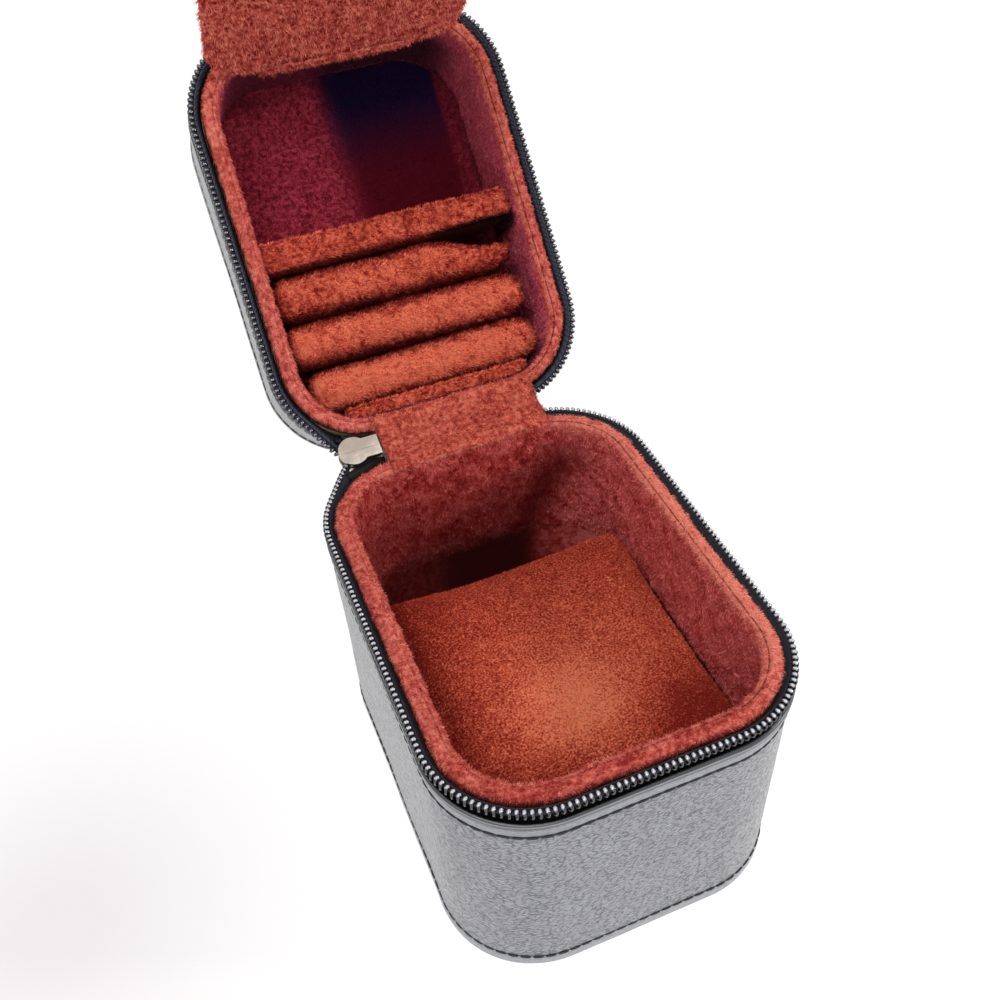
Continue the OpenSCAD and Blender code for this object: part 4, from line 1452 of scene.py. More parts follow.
    def tape(self) -> None:
        """The woven tape that leans out to the teeth, the cord on it and its end behind the slider."""
        in_lid = self.placing.turned_over
        tape = divided(fillet([
            (0.0, -1.2, 0.1), (-0.4, -0.9, 0.15), (-1.9, -1.7, 0.4), (-2.6, -3.4, 0.4), (-1.7, -9, 0),
            (-1.2, -9, 0), (-2.0, -4.2, 0.4), (-1.5, -2.6, 0.3), (-0.3, -2.1, 0.3)]), 0.8 * MM)
        turns = np.linspace(0, 2 * math.pi, 7)[:-1]
        cord = np.stack([np.cos(turns), np.sin(turns)], axis=1) * 0.22 * MM + np.array((-1.15, -0.85)) * MM
        reach = 0.2 if in_lid else 1.4
        behind = fillet([(-0.4, -1.2, 0.2), (reach, -1.3, 0.1), (reach, -1.7, 0.1), (-0.4, -2.2, 0.5),
                         (-1.0, -5, 0.5), (-1.2, -9, 0), (-1.6, -9, 0), (-1.4, -4, 0.5)])
        along = np.arange(self.zip_start, self.zip_stop, self.step)
        hidden = np.arange(self.corner_run(self.hidden_x), self.zip_start + 2 * MM, self.step)

        def push(at: np.ndarray, height: np.ndarray) -> np.ndarray:
            return self.swing(at) * eased(height, -7, -1.5)

        def still(at: np.ndarray, height: np.ndarray) -> np.ndarray:
            return 0 * (at + height)

        skin = carried_along(self.outline, tape, along, push)
        skin = skin.joined(carried_along(self.outline, cord, along, push))
        shown = len(skin.points)
        skin = skin.joined(carried_along(self.outline, behind, hidden, still))
        piece = self.placed("_woven_tape", skin, ((2 * MM, 0.06 * MM), (0.9 * MM, 0.04 * MM)))
        # Painted shade: darker low on the tape, black behind the slider, on the lid darker towards the
        # collar, and on the base darker all over.
        shade = eased(-skin.points[:, 2], 2.2, 3.0)
        shade[shown:] = 1.0
        if in_lid:
            inner = np.tile(eased(-tape[:, 0], 1.3, 2.2), len(along))
            shade[:len(inner)] = np.maximum(shade[:len(inner)], inner)
        else:
            shade = np.maximum(shade, 0.6)
        marked(piece, "shade", shade)
        dressed(piece, TAPE_WEAVE, self.placing.body, [self.name + "_zip_tape"])

    def lining(self) -> None:
        """The padded collar and the suede that runs on down the wall."""
        in_lid = self.placing.turned_over
        floor, edge = (SIZES.floor - self.depth) / MM, 3.1 if in_lid else 2.7
        section = divided(fillet([
            (-edge, -8.5, 0), (-edge, -0.45, 1.4), (-4.8, -0.15, 0.9), (-5.3, -0.35, 0.3), (-5.5, -0.7, 0.2),
            (-5.75, -0.45, 0.3), (-6.6, -0.9, 0.9), (-6.6, floor, 0), (-5.8, floor, 0), (-5.8, -8.5, 0),
        ], 5), 1.4 * MM)
        skin = carried_round(self.outline, section, 0.9 * MM)
        piece = self.placed("_lining", skin, NAP)
        (x, y, height), outset = skin.points.T, along_section(section, skin)[0]
        groove = (np.abs(outset + 5.5 * MM) < 0.15 * MM) & (height > -1.5 * MM)
        # Painted shade on the collar's outer side, in its groove (stronger to the right), and the painted
        # shadows below.
        outside = (outset > -3.8 * MM) * eased(-height, 0.9, 2.2)
        inside = (outset < -6 * MM) | ((outset < -5.7 * MM) & (height < -3 * MM))
        shadows = self.lid_shadows if in_lid else self.base_shadows
        shade, painted_deep_shade = shadows(x, y, -height, inside)
        marked(piece, "shade", highest(outside, groove * (0.25 + 0.4 * eased(x, -5, 25)), shade))
        marked(piece, "painted_deep_shade", painted_deep_shade)
        # On the base, the lie mark is painted light: lighter on the right side, darker along the front of
        # the collar's top.
        if not in_lid:
            on_top = (outset > -5.7 * MM) * 1.0
            on_right = eased(x, 20, 33) * (0.7 + 0.3 * on_top * (y < 30 * MM))
            marked(piece, "lie", on_right - 0.5 * on_top * eased(-y, 34, 47))
        covered = (outset > -6.4 * MM) & (height < -3 * MM)
        marked(piece, "bare", (groove | covered) * 1.0)
        dressed(piece, COLLAR_SUEDE, self.placing.body,
                [self.name + "_rim_collar", self.name + "_wall_lining"])
        inner_suede = LID_WALL_SUEDE if in_lid else WALL_SUEDE
        piece.data.materials.append(WARDROBE.get(inner_suede))
        corners = np.zeros((len(piece.data.polygons), 4), dtype=int)
        piece.data.polygons.foreach_get("vertices", corners.ravel())
        on_wall = (height[corners].mean(axis=1) < -1.9 * MM) & (outset[corners].mean(axis=1) < -5.6 * MM)
        piece.data.polygons.foreach_set("material_index", on_wall.astype(np.int32))
        self.lining_pile(piece, inner_suede)

    def lid_shadows(self, x: np.ndarray, y: np.ndarray, down: np.ndarray,
                    inside: np.ndarray) -> tuple[np.ndarray, np.ndarray]:
        """Where the lid's lining lies in the dark: the pocket's far end and foot, and beside the tray.

        Args:
            x: Places across the case.
            y: Places along the case, from its front.
            down: Depths below the zip line.
            inside: Whether each place is on the wall.

        Returns:
            The painted shade and the deeper painted shade of each place.
        """
        panel = (self.depth / MM - 6, self.depth / MM - 4.4)
        pocket = (y < 2 * MM) * inside
        far = eased(y + SIZES.inner_length / 2, 12, 0)
        on_right = eased(x, -8, 2)
        nook = eased(-x, 20, 24) * eased(y, 36, 42) * eased(down, 1.2, 3.5)
        tuck = eased(y, 38, 44) * eased(down, 0.8, 1.8) * inside
        roll_end = eased(x, 22, 27) * eased(down, 4, 7) * (y > 3 * MM) * eased(-y, -9, -7)
        ground = eased(down, *panel) * pocket
        shade = highest((0.1 + 0.85 * far) * pocket * eased(down, 1, 10), tuck, ground)
        painted_deep_shade = highest(0.95 * far * pocket * on_right * eased(down, 4, 12), nook, 0.85 * tuck, roll_end,
                       ground * on_right * (x < 31 * MM))
        return shade, painted_deep_shade

    def base_shadows(self, x: np.ndarray, y: np.ndarray, down: np.ndarray,
                     inside: np.ndarray) -> tuple[np.ndarray, np.ndarray]:
        """Painted shade on the base's lining: a streak of shadow down the back wall, its foot, and beside
        the cushion.

        Args:
            x: Places across the case.
            y: Places along the case, from its front.
            down: Depths below the zip line.
            inside: Whether each place is on the wall.

        Returns:
            The painted shade and the deeper painted shade of each place.
        """
        at_back, low = eased(y, 30, 44) * inside, eased(down, 4, 24)
        off_streak = (x - 12 * MM - 0.453 * (40 * MM - down)) / (7 * MM)
        streak = 0.85 * np.exp(-off_streak * off_streak) * eased(down, 1, 14)
        foot = eased(down, 27, 40) * eased(x, -24, -4) * eased(-x, -22, -13)
        on_left = 0.1 + 0.5 * low * eased(-x, -26, -12)
        beside = inside * ((x > 22 * MM) & (y < 28 * MM)) * eased(down, 30.2, 30.8)
        shade = highest(on_left, streak, foot) * at_back
        return shade, highest(beside, np.maximum(0.3 * streak * low, 0.75 * foot) * at_back)

    def lining_pile(self, piece: bpy.types.Object, inner_suede: Suede) -> None:
        """Grows the collar's short fibres and the wall's longer ones, as deep as they are seen.

        Args:
            piece: The lining.
            inner_suede: Finish of the wall's suede.
        """
        centre, up = self.placing.centre, self.placing.way(0, 0, 1)
        in_lid = self.placing.turned_over

        def collar(places: np.ndarray, ways: np.ndarray) -> np.ndarray:
            return (-(places - centre) @ up < self.collar_pile_depth) * 1.0

        def wall(places: np.ndarray, ways: np.ndarray) -> np.ndarray:
            down = -(places - centre) @ up
            in_sight = ((places[:, 1] > 40 * MM) | (places[:, 0] > 30 * MM)) & (not in_lid)
            pocket = (places[:, 1] > 75 * MM) & in_lid
            deepest = self.pile_depth + self.deeper_in_sight * in_sight + self.deeper_in_pocket * pocket
            return ((down >= self.collar_pile_depth) & (down < deepest)) * 1.0

        for name, pile, finish, seed, keep in (("_collar_pile", COLLAR_PILE, COLLAR_SUEDE, 11, collar),
                                               ("_wall_pile", WALL_PILE, inner_suede, 12, wall)):
            fibres = pile.grow(piece, seed, keep)
            fibres.name = self.name + name
            dressed(fibres, finish, self.placing.body)

    def panel_lining(self) -> None:
        """Suede on the inside of the large panel."""
        in_lid = self.placing.turned_over
        inset = SIZES.wall - SIZES.lining + 0.1 * MM
        high = SIZES.floor - self.depth
        low = high - 0.7 * MM
        rings = [(inset, share, low) for share in (0.5, 1.0)]
        rings += [(inset, float(share), high) for share in np.linspace(1, 0.02, 40)]
        skin = stacked(self.outline, rings, self.step)
        piece = self.placed("_panel_lining", skin, NAP)
        if in_lid:
            x, y, _ = skin.points.T
            # Painted shade over the pocket floor's right part, deeper painted shade towards its far end,
            # both weaker beside the right wall.
            right, beyond = eased(x, -7, 2), eased(x, 28.4, 30.2)
            marked(piece, "shade", right * (1 - 0.6 * beyond))
            marked(piece, "painted_deep_shade", right * eased(-y, 15, 40) * (1 - 0.9 * beyond))
        dressed(piece, FLOOR_SUEDE if in_lid else WALL_SUEDE, self.placing.body,
                ["lid_top_lining" if in_lid else "base_floor_lining"])
        if in_lid:
            centre, ahead = self.placing.centre, self.placing.way(0, 1, 0)

            def in_pocket(places: np.ndarray, ways: np.ndarray) -> np.ndarray:
                return ((places - centre) @ ahead < 0) * (ways @ OUT_OF_LID > 0.5)

            piled(piece, FLOOR_PILE, FLOOR_SUEDE, 13, "lid", in_pocket)

    def build(self) -> None:
        """Makes every piece of the half."""
        self.wall_leather()
        self.seams()
        self.tape()
        self.teeth()
        self.lining()
        self.panel_lining()


# ---------- cushion ----------


@dataclass
class WatchCushion:
    """The stuffed cushion that a watch is strapped round."""

    width: float = 67.2 * MM
    length: float = 77 * MM
    height: float = 38.3 * MM
    left_corner: float = 3 * MM
    right_corner: float = 9 * MM
    front_corner: float = 15.6 * MM
    crown: float = 1.8 * MM
    edge: float = 1.2 * MM
    start_in: float = 0.2 * MM
    foot: float = 3.7 * MM
    pile_from: float = 33 * MM
    stuffing: Stuffing = Stuffing(voxel=2.5 * MM, cap=1.2 * MM)

    @property
    def middle_y(self) -> float:
        """Place of its middle, close behind the front wall's lining."""
        return 0.8 * MM + self.length / 2 - SIZES.inner_length / 2

    def cover(self) -> Skin:
        """The flat-bottomed cover with a rounded edge and a low crown, before it is blown up."""
        inset, edge = self.start_in, self.edge
        low, top = inset * 0.5, self.height - self.crown - inset * 0.6
        rings = [(inset + edge, 0.05, low), (inset + edge, 1, low)]
        rings += [(inset + edge * 0.3, 1, low + edge * 0.3), (inset, 1, low + edge)]
        rings += [(inset + edge * (1 - math.cos(a)), 1, top - edge * (1 - math.sin(a)))
                  for a in np.radians([0, 30, 60, 88])]
        rings += [(inset + edge, share, top + self.crown * (1 - share * share))
                  for share in (0.85, 0.7, 0.5, 0.25, 0.05)]
        skin = stacked(Outline(self.width, self.length, self.left_corner), rings, 3 * MM)
        shift = np.array([0, self.middle_y, self.foot])
        return skin.moved(lambda points: points + shift)

    def build(self) -> None:
        """Blows up the cover inside the space between the walls."""
        piece = made("watch_cushion", self.cover())
        self.stuffing.fill(piece)
        refined(piece)
        self.kept_inside(piece)
        ruffled(piece, ((26 * MM, 0.4 * MM), (8 * MM, 0.2 * MM), (1.6 * MM, 0.1 * MM)))
        self.kept_inside(piece)
        x, y, z = points_of(piece.data).T
        # Painted light and shade: a painted highlight towards the front middle, darker towards the back,
        # left, front and front right, and painted shade low on the sides.
        lit = np.exp(-(((x + 1 * MM) / (12 * MM)) ** 2 + ((y + 19 * MM) / (11 * MM)) ** 2))
        back, left, front = eased(y, -8, 28), eased(-x, 6, 32), eased(-y, 24, 38)
        right = eased(x, 6, 24) * eased(-y, 12, 30)
        marked(piece, "lie", 1.15 * lit - 0.5 * back - 0.6 * left - 1.1 * right - 0.5 * front)
        marked(piece, "shade", eased(-z, -37, -30))
        dressed(piece, CUSHION_SUEDE, "cushion", ["watch_cushion_cover", "watch_cushion_core"])
        piled(piece, CUSHION_PILE, CUSHION_SUEDE, 21, "cushion",
              lambda places, ways: (places[:, 2] > self.pile_from) * 1.0)

    def kept_inside(self, piece: bpy.types.Object) -> None:
        """Presses the cover flat where walls and floor hold it.

        Args:
            piece: The swollen cover.
        """
        points = points_of(piece.data)
        points[:, 2] = np.maximum(points[:, 2], self.foot)
        y = points[:, 1] - self.middle_y
        back = np.where(points[:, 0] < 0, self.left_corner, self.right_corner)
        corner = np.where(y < 0, self.front_corner, back)
        half_w, half_l = self.width / 2 - 0.4 * MM * (points[:, 0] > 0), self.length / 2
        cx = np.clip(points[:, 0], corner - half_w, half_w - corner)
        cy = np.clip(y, corner - half_l, half_l - corner)
        off = np.stack([points[:, 0] - cx, y - cy], axis=1)
        reach = np.maximum(np.linalg.norm(off, axis=1), 1e-9)
        off *= np.minimum(1, corner / reach)[:, None]
        points[:, 0] = cx + off[:, 0]
        points[:, 1] = cy + off[:, 1] + self.middle_y
        set_points(piece.data, points)


# ---------- ring tray ----------


@dataclass
class RingTray:
    """Divider, three ring rolls and the folded ridge, across the lid."""

    span: float = 68.2 * MM
    floor: float = -26.6 * MM
    divider_y: float = 2 * MM
    divider_t: float = 7 * MM
    divider_top: float = -3.6 * MM
    roll_ys: tuple[float, float, float] = (12.75 * MM, 25.25 * MM, 37.75 * MM)
    roll_width: float = 12.1 * MM
    roll_top: float = -3.4 * MM
    ridge_y: float = 45.75 * MM
    ridge_t: float = 3.1 * MM

    def span_at(self, y: float) -> float:
        """Clear width of the lid at a place behind its middle."""
        over = max(0.0, abs(y) - (SIZES.length / 2 - SIZES.corner))
        radius = SIZES.corner - SIZES.wall - 0.3 * MM
        return 2 * (SIZES.width / 2 - SIZES.corner + math.sqrt(radius ** 2 - min(over, radius) ** 2))

    @staticmethod
    def near_rim(depth: float) -> Rule:
        """Keeps fibres down to a depth below the lid's zip line."""
        centre, down = IN_LID.centre, IN_LID.way(0, 0, -1)
        return lambda places, ways: ((places - centre) @ down < depth) * 1.0

    def rib(self, y: float, thickness: float, top: float, round_by: float) -> np.ndarray:
        """Section of an upright fold that stands on the lid's lining.

        Args:
            y: Place of its middle behind the lid's middle.
            thickness: How thick it is.
            top: Height of its top.
            round_by: How far its upper corners are rounded, in millimetres.

        Returns:
            The section's points as y and height.
        """
        t, low, high = thickness / MM / 2, self.floor / MM, top / MM
        corners = [(-t, low, 0), (t, low, 0), (t, high, round_by), (-t, high, round_by)]
        section = divided(fillet(corners, 5), 0.7 * MM)
        section[:, 0] += y
        return section

    def divider(self) -> None:
        """The padded bar between pocket and rolls, its right end a little thinner."""
        half = self.span / 2
        right = half - 1.2 * MM
        ends = [(-half, 0.96), (-half + 1 * MM, 1), (right - 1 * MM, 1), (right, 0.92)]
        skin = bar(self.rib(self.divider_y, self.divider_t, self.divider_top, 1.8), ends, 1 * MM)
        x, y, z = skin.points.T
        near = eased(y - self.divider_y, 1, 3.4)
        y -= 0.6 * MM * near * eased(x, 4, 32)
        piece = made("tray_divider", skin.moved(IN_LID))
        ruffled(piece, ((12 * MM, 0.25 * MM),) + NAP)
        # Painted shade low on the side that faces the rolls, with deeper painted shade towards the right.
        sunk = near * eased(-z, 3.8, 5.4)
        marked(piece, "shade", 0.9 * sunk)
        marked(piece, "painted_deep_shade", sunk * eased(x, 4, 18))
        dressed(piece, TRAY_SUEDE, "lid", ["divider_cover"])
        piled(piece, TRAY_PILE, TRAY_SUEDE, 31, "lid", self.near_rim(9 * MM))

    def rolls(self) -> None:
        """Three stuffed rolls whose ends are drawn in."""
        for number, y in enumerate(self.roll_ys, start=1):
            half = self.span_at(y + 1 * MM) / 2
            self.roll(f"ring_roll_{number}", y, min(half, self.span / 2), number)

    def roll_cover(self, y: float, half: float) -> Skin:
        """A roll's cover before it is blown up: upright sides under a dome, narrower at its right end."""
        inset, rise = 0.7 * MM, 4.6 * MM
        radius = self.roll_width / 2 - inset
        high = self.roll_top - inset - rise
        dome = [(radius * math.cos(a), high + rise * math.sin(a)) for a in np.linspace(0, math.pi, 13)]
        section = np.array([(radius, self.floor + inset)] + dome + [(-radius, self.floor + inset)])
        section[:, 0] += y
        right = min(half, 31 * MM)
        ends = [(-half + inset, 0.96), (-half + inset + 2 * MM, 1), (right - 5 * MM, 1),
                (right - inset - 1.5 * MM, 0.93), (right - inset, 0.74)]
        return bar(section, ends, 2 * MM)

    def roll(self, name: str, y: float, half: float, number: int) -> None:
        """One stuffed roll.

        Args:
            name: Name of the piece and of the node that it replaces.
            y: Place of its middle behind the lid's middle.
            half: Half its length.
            number: Which roll it is, from the divider.
        """
        piece = made(name + "_cover", self.roll_cover(y, half))
        Stuffing(voxel=2 * MM, cap=1.1 * MM, pressure=3.0).fill(piece)
        points = points_of(piece.data)
        points[:, 1] = np.clip(points[:, 1], y - self.roll_width / 2, y + self.roll_width / 2)
        points[:, 2] = np.clip(points[:, 2], self.floor, self.roll_top + 0.6 * MM)
        clear = np.minimum(half, np.array([self.span_at(at) for at in points[:, 1]]) / 2)
        points[:, 0] = np.clip(points[:, 0], -clear, clear)
        if number == 1:
            away = eased(points[:, 0], 9, 28) * eased(y - points[:, 1], -2, 6)
            points[:, 1] += 4.4 * MM * away
            points[:, 2] -= 2.6 * MM * away
        # Painted shade down each roll's sides; painted light on the crest, lighter for rolls further from
        # the divider and darker towards the right end; deeper painted shade on the first roll's side towards
        # the divider, to the right.
        x, below = points[:, 0], float(np.percentile(points[:, 2], 99)) - points[:, 2]
        marked(piece, "shade", 0.95 * eased(below, 1.0, 4.4))
        marked(piece, "lie", 0.7 * eased(-below, -2.3, -0.4) - 0.65 + 0.3 * number - 0.5 * eased(x, 16, 30))
        if number == 1:
            marked(piece, "painted_deep_shade", eased(below, 2.0, 3.8) * eased(x, 6, 20) * (points[:, 1] < y + 2 * MM))
        set_points(piece.data, IN_LID(points))
        piece.data.flip_normals()
        piece.data.shade_smooth()
        ruffled(piece, ((9 * MM, 0.35 * MM),) + NAP)
        nodes = [name] + (["ring_roll_cores"] if number == 1 else [])
        dressed(piece, TRAY_SUEDE, "lid", nodes)
        piled(piece, TRAY_PILE, TRAY_SUEDE, 40 + number, "lid", self.near_rim(10 * MM))

    def ridge(self) -> None:
        """The folded ridge of lining behind the last roll."""
        half = self.span_at(self.ridge_y) / 2
        skin = bar(self.rib(self.ridge_y, self.ridge_t, self.roll_top, 1),
                   [(-half, 0.9), (-half + 1 * MM, 1), (half - 1 * MM, 1), (half, 0.9)], 0.7 * MM)
        piece = made("ring_tray_ridge_fold", skin.moved(IN_LID))
        ruffled(piece, NAP)
        dressed(piece, TRAY_SUEDE, "lid", ["ring_tray_ridge"])
        piled(piece, TRAY_PILE, TRAY_SUEDE, 51, "lid", self.near_rim(8 * MM))

    def build(self) -> None:
        """Makes the tray's pieces."""
        self.divider()
        self.rolls()
        self.ridge()


# ---------- flap ----------


@dataclass
class Flap:
    """The suede flap over the lid's tray and the cloth that hinges it."""

    width: float = 66 * MM
    length: float = 86 * MM
    thickness: float = 2 * MM
    corner: float = 10.4 * MM
    left_by: float = 0.8 * MM
    root_y: float = 3.5 * MM - SIZES.inner_length / 2
    drop: float = 0.6 * MM
    strip_width: float = 37.5 * MM
    strip_length: float = 15 * MM
    strip_t: float = 0.8 * MM

    def into_lid(self, points: np.ndarray) -> np.ndarray:
        """Opens points about the flap's root edge and sets them in the row frame."""
        c, s = math.cos(FLAP_ANGLE), math.sin(FLAP_ANGLE)
        out = points.copy()
        out[:, 1] = points[:, 1] * c - points[:, 2] * s + self.root_y
        out[:, 2] = points[:, 1] * s + points[:, 2] * c - self.drop
        out[:, 0] -= self.left_by
        return IN_LID(out)

    def panel(self) -> None:
        """The covered board of the flap, its soft edge rounded over."""
        outline, t = Outline(self.width, self.length, self.corner), self.thickness
        inset, bulge = 0.7 * MM, 0.15 * MM
        rim = [(inset, 1, -t), (bulge, 1, -0.8 * t), (0, 1, -0.5 * t), (bulge, 1, -0.2 * t)]
        shares = np.linspace(1, 0.01, 42)
        faces_low = [(inset, float(share), -t) for share in shares[:0:-1]]
        faces_high = [(inset, float(share), 0.0) for share in shares]
        skin = stacked(outline, faces_low + rim + faces_high, 1.2 * MM)
        shift = np.array([0, self.length / 2, 0])
        piece = made("tray_flap", skin.moved(lambda points: self.into_lid(points + shift)))
        ruffled(piece, ((20 * MM, 0.2 * MM),) + NAP)
        dressed(piece, FLAP_SUEDE, "flap", ["flap_cover", "flap_board"])
        towards = unit(self.into_lid(np.array([[0, 0, -1 * MM]]))[0] - self.into_lid(np.zeros((1, 3)))[0])
        piled(piece, FLAP_PILE, FLAP_SUEDE, 61, "flap",
              lambda places, ways: np.where(ways @ towards > -0.5, 1.0, 0.3))

    def strip(self) -> None:
        """The cloth that hinges the flap to the lid's far wall."""
        wall_y = -SIZES.inner_length / 2
        line = self.rounded(np.array([
            (wall_y + 0.3 * MM, -self.strip_length), (wall_y + 0.5 * MM, -9 * MM),
            (wall_y + 2.0 * MM, -4.5 * MM), (wall_y + 4.2 * MM, -1.6 * MM),
            (wall_y + 5.4 * MM, 0.3 * MM), (wall_y + 5.5 * MM, 2.2 * MM)]))
        half = self.strip_width / 2
        skin = ribbon(line[::-1], self.strip_t, -half - self.left_by, half - self.left_by, 0.9 * MM)
        piece = made("flap_strip_cloth", skin.moved(IN_LID))
        ruffled(piece, NAP[:1])
        # Painted shade, darker further down into the lid.
        marked(piece, "shade", 0.25 * eased(-skin.points[:, 2], 1, 12))
        dressed(piece, FLAP_SUEDE, None, ["flap_strip"])
        low, high = IN_LID(np.array([[0, wall_y + 3 * MM, -4 * MM], [0, wall_y + 5.4 * MM, 0.3 * MM]]))
        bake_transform(piece)
        pile = piled(piece, FLAP_PILE, FLAP_SUEDE, 62, None,
                     lambda places, ways: (ways @ OUT_OF_LID > -0.2) | (ways @ TO_FRONT_OF_LID > 0.3))
        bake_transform(pile)

    @staticmethod
    def rounded(corners: np.ndarray) -> np.ndarray:
        """A smooth line through the same ends as a few corners."""
        line = corners
        for _ in range(3):
            near = line[:-1] * 0.75 + line[1:] * 0.25
            far = line[:-1] * 0.25 + line[1:] * 0.75
            line = np.concatenate([line[:1], np.stack([near, far], axis=1).reshape(-1, 2), line[-1:]])
        return line

    def build(self) -> None:
        """Makes the flap and its strip."""
        self.panel()
        self.strip()


# ---------- hinge ----------


@dataclass
class HingeStrips:
    """The suede strip across the hinge and the leather panel outside it."""

    width: float = 42.5 * MM
    right_by: float = 1.75 * MM
    suede_t: float = 0.8 * MM
    leather_t: float = 1 * MM
    creases: tuple[tuple[float, float], ...] = (
        (3.2 * MM, 0.3 * MM), (6.3 * MM, 0.45 * MM), (9.6 * MM, 0.4 * MM), (12.6 * MM, 0.3 * MM))

    def opened(self, y: float, z: float) -> np.ndarray:
        """A lid point, as y and height above the zip line, in the open pose."""
        at = IN_LID(np.array([[0, y, -z]]))[0]
        return at[1:]

    @staticmethod
    def bend(a: np.ndarray, b: np.ndarray, c: np.ndarray, d: np.ndarray, steps: int = 14) -> np.ndarray:
        """Points of a smooth curve from a to d, drawn towards b and c."""
        t = np.linspace(0, 1, steps)[:, None]
        return a * (1 - t) ** 3 + 3 * b * t * (1 - t) ** 2 + 3 * c * t * t * (1 - t) + d * t ** 3

    @property
    def edges(self) -> tuple[float, float]:
        """Places of the left and the right edge of both strips."""
        return self.right_by - self.width / 2, self.right_by + self.width / 2

    def suede_line(self) -> np.ndarray:
        """The strip's run from groove to groove, over both collars and the gap between them."""
        inner_y, top = SIZES.length / 2 - SIZES.wall, SIZES.base_depth
        edge_y = inner_y + SIZES.collar_width - 0.75 * MM
        tucks = np.array([(0.95, 1.1), (1.2, 0.45), (1.9, 0.2)]) * MM
        start = np.array([[inner_y + back, top - drop] for back, drop in tucks])
        base_edge, lid_edge = np.array([edge_y, top - 0.2 * MM]), self.opened(edge_y, 0.0)
        pull = 2.6 * MM
        onward = unit(lid_edge - self.opened(inner_y, 0.0))
        curve = self.bend(base_edge, base_edge + [pull, 0], lid_edge + onward * pull, lid_edge)
        end = [self.opened(inner_y + 1.9 * MM, 0.05 * MM), self.opened(inner_y + 1.2 * MM, 0.3 * MM),
               self.opened(inner_y + 0.95 * MM, 1.1 * MM)]
        return divided(np.concatenate([start, curve, end]), 0.5 * MM, closed=False)

    def suede(self) -> None:
        """The strip that runs from collar to collar, creased where it folds."""
        line = self.suede_line()
        gone = np.concatenate([[0], np.cumsum(np.linalg.norm(np.diff(line, axis=0), axis=1))])
        dips = sum(depth * np.exp(-((gone - at) / (0.8 * MM)) ** 2) for at, depth in self.creases)
        line = line - lefts_of(line) * dips[:, None]
        x0, x1 = self.edges
        piece = made("hinge_strip", ribbon(line, self.suede_t, x0, x1, 0.7 * MM))
        ruffled(piece, ((8 * MM, 0.25 * MM), NAP[0]))
        points = points_of(piece.data)
        nearest = np.abs(points[:, None, 1:] - line[None]).sum(axis=2).argmin(axis=1)
        # Painted shade in the creases and along both edges.
        in_fold = np.clip(dips[nearest] / (0.5 * MM), 0, 1)
        at_edge = np.minimum(points[:, 0] - x0, x1 - points[:, 0]) < 0.3 * MM
        marked(piece, "shade", np.maximum(in_fold * 0.22, at_edge * 0.3))
        dressed(piece, STRIP_SUEDE, None, ["hinge_lining_strip"])
        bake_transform(piece)
        pile = piled(piece, STRIP_PILE, STRIP_SUEDE, 71, None,
                     lambda places, ways: (ways[:, 1] < 0.1) | (ways[:, 2] > 0.3))
        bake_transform(pile)

    def leather(self) -> None:
        """The panel sewn to both walls behind the case."""
        wall_y, top = SIZES.length / 2 + 0.1 * MM, SIZES.base_depth
        lap, reveal, pull = 9 * MM, SIZES.tape_reveal, 2.8 * MM
        base_end, base_edge = np.array([[wall_y, top - reveal - lap], [wall_y, top - reveal]])
        lid_edge, lid_end = (self.opened(wall_y + 0.25 * MM, deep) for deep in (reveal, reveal + lap))
        onward = unit(lid_edge - lid_end)
        curve = self.bend(lid_edge, lid_edge + onward * pull, base_edge + [0, pull], base_edge)
        line = np.concatenate([[lid_end], curve, [base_end]])
        piece = made("hinge_panel", ribbon(line, self.leather_t, *self.edges, 1.2 * MM))
        dressed(piece, SHELL_LEATHER, None, ["hinge_leather_panel"])
        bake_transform(piece)

    def build(self) -> None:
        """Makes both strips."""
        self.suede()
        self.leather()


# ---------- parts that keep their CAD meshes ----------


class CarriedOver:
    """CAD nodes that stay as they are and get their finish."""

    SETS = (
        (SHELL_LEATHER, ("base_bottom_leather", "lid_top_leather")),
        (PLATED, ("slider_body", "pull_tab")),
        (BOARD, ("base_floor_board", "base_wall_board", "lid_top_board", "lid_wall_board", "divider_board")),
        (FOAM, ("base_wall_foam", "lid_wall_foam")),
    )

    def build(self) -> None:
        """Puts each node's finish into its material slots."""
        for finish, names in self.SETS:
            for name in names:
                for place in frame["nodes"][name].material_slots:
                    place.material = WARDROBE.get(finish)
                LOG.info("%s: finish %s", name, finish.name)


# ---------- studio ----------


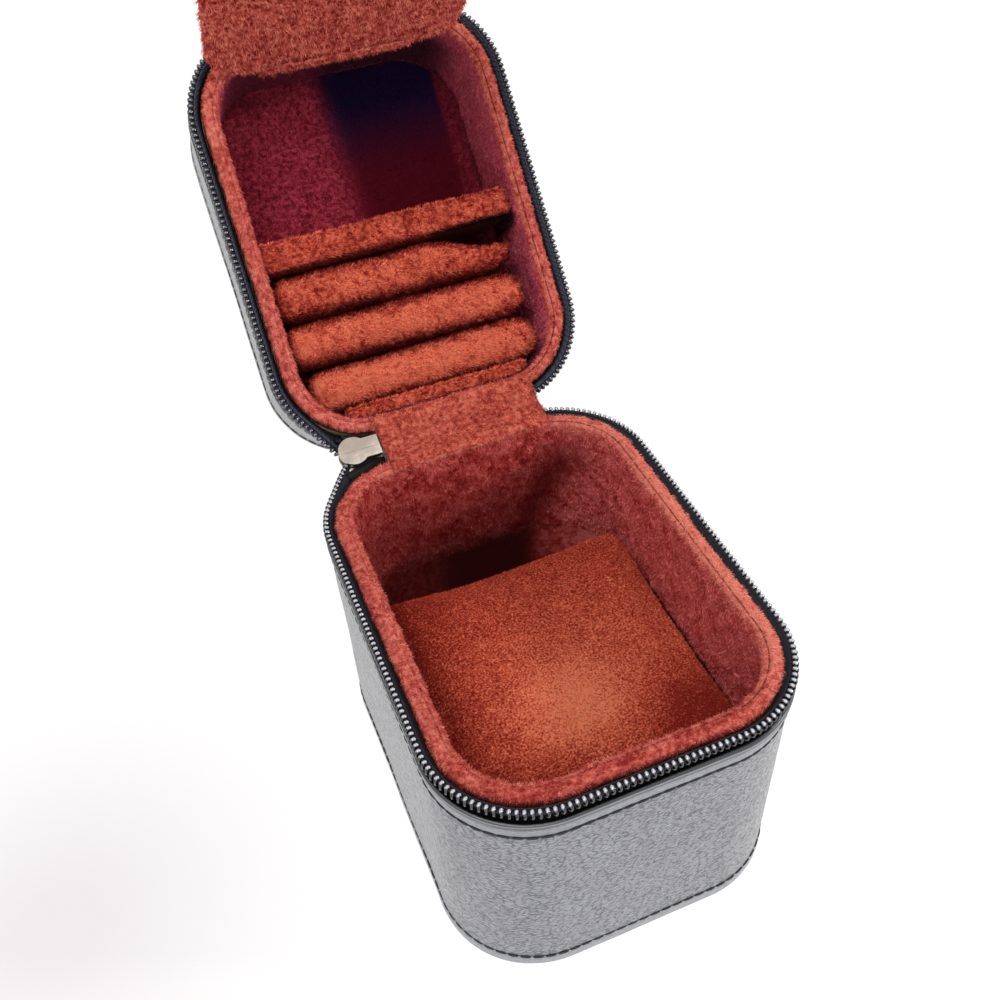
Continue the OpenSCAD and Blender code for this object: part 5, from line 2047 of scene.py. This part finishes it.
@dataclass
class Studio:
    """Floor, lamps, surroundings and camera."""

    eye: tuple[float, float, float] = (-63.579 * MM, -150.832 * MM, 249.597 * MM)
    turn: tuple[float, float, float] = (0.798, 0.045, -0.390)
    focal_px: float = 1097.076
    floor_size: float = 4.0
    dim_at: tuple[float, float, float] = (-127 * MM, 0.0, 0.0)

    def camera(self) -> None:
        """The camera at the photograph's angle."""
        data = bpy.data.cameras.new("camera")
        data.sensor_width = 36
        data.lens = self.focal_px / 1000 * data.sensor_width
        data.clip_start, data.clip_end = 0.01, 20
        camera = linked("camera", data)
        camera.location = self.eye
        camera.rotation_euler = Euler(self.turn, "XYZ")
        bpy.context.scene.camera = camera

    @staticmethod
    def seen(nodes: Nodes) -> bpy.types.NodeSocket:
        """1 for rays that look at the background, from the camera or by way of gloss or glass."""
        path = nodes.add("ShaderNodeLightPath")
        both = nodes.maths("MAXIMUM", path.outputs["Is Camera Ray"], path.outputs["Is Glossy Ray"])
        return nodes.maths("MAXIMUM", both, path.outputs["Is Transmission Ray"])

    def floor(self) -> None:
        """A pale floor that keeps the case's shadow."""
        mesh = bpy.data.meshes.new("studio_floor")
        half = self.floor_size / 2
        corners = [(-half, -half, 0), (half, -half, 0), (half, half, 0), (-half, half, 0)]
        mesh.from_pydata(corners, [], [(0, 1, 2, 3)])
        floor = linked("studio_floor", mesh)
        s = Surface("studio_floor")
        s.set(Base_Color=(0.9, 0.9, 0.9, 1), Roughness=0.8, Specular_IOR_Level=0.1)
        # A darker patch painted round one place on the floor: painted shade.
        away = s.vectors("DISTANCE", s.place, self.dim_at).outputs["Value"]
        colour = s.curve(s.level(away, 0.01, 0.075), [(0.0, (0.72, 0.7, 0.72)), (1.0, (0.9, 0.9, 0.9))])
        glow = s.add("ShaderNodeEmission", Color=colour, Strength=1.0)
        plain = s.add("ShaderNodeBsdfDiffuse", Color=(0.16, 0.15, 0.145, 1))
        shown = s.add("ShaderNodeAddShader")
        for part, socket in zip((glow, plain), shown.inputs):
            s.link(part.outputs[0], socket)
        s.feed(s.out, "Surface", s.either(self.seen(s), s.shader.outputs[0], shown.outputs[0]))
        mesh.materials.append(s.material)

    def lamp(self, name: str, towards: tuple[float, float, float], away: float, size: float,
             level: float, colour: Colour) -> None:
        """A soft square lamp.

        Args:
            name: Name of the lamp.
            towards: Direction from the case to the lamp.
            away: Distance from the case.
            size: Side of the lamp.
            level: Share of full light that it gives a surface that faces it.
            colour: Colour of its light.
        """
        data = bpy.data.lights.new(name, "AREA")
        data.shape = "SQUARE"
        data.size = size
        data.energy = level * math.pi ** 2 * away ** 2
        data.color = colour
        lamp = linked(name, data)
        aim = Vector(towards).normalized()
        lamp.location = Vector((0, 0.03, 0.06)) + aim * away
        lamp.rotation_euler = aim.to_track_quat("Z", "Y").to_euler()

    def world(self) -> None:
        """White surroundings for the eye, and a low even light for the case."""
        world = bpy.data.worlds.new("surroundings")
        bpy.context.scene.world = world
        world.use_nodes = True
        nodes = Nodes(world.node_tree)
        nodes.tree.nodes.clear()
        ambient = nodes.add("ShaderNodeBackground", Color=(0.84, 0.88, 1.0, 1), Strength=0.3)
        white = nodes.add("ShaderNodeBackground", Color=(1, 1, 1, 1), Strength=1.0)
        nodes.add("ShaderNodeOutputWorld",
                  Surface=nodes.either(self.seen(nodes), ambient.outputs[0], white.outputs[0]))

    def build(self) -> None:
        """Sets the whole studio up."""
        self.camera()
        self.floor()
        self.world()
        self.lamp("overhead", (-0.3, -0.28, 1.0), 1.5, 0.9, 0.85, (1.0, 0.98, 0.96))
        self.lamp("side", (1.36, -0.67, 0.75), 1.4, 0.12, 0.5, (1.0, 0.97, 0.94))
        self.lamp("front", (-0.25, -1.0, 0.3), 1.6, 1.2, 0.25, (1.0, 0.98, 0.97))
        bpy.context.scene.view_settings.view_transform = "Standard"


def main() -> None:
    """Builds the case piece by piece, then the studio."""
    logging.basicConfig(level=logging.INFO, format="%(message)s")
    Studio().build()
    coil, stitch = CoilRow("coil_row").build(), StitchRow("stitch_row").build()
    for half in (CaseHalf("base", SIZES.base_depth, IN_BASE, 0.0, coil, stitch),
                 CaseHalf("lid", SIZES.lid_depth, IN_LID, 0.5, coil, stitch)):
        half.build()
    for assembly in (WatchCushion(), RingTray(), Flap(), HingeStrips(), CarriedOver()):
        assembly.build()


if __name__ == "__main__":
    main()
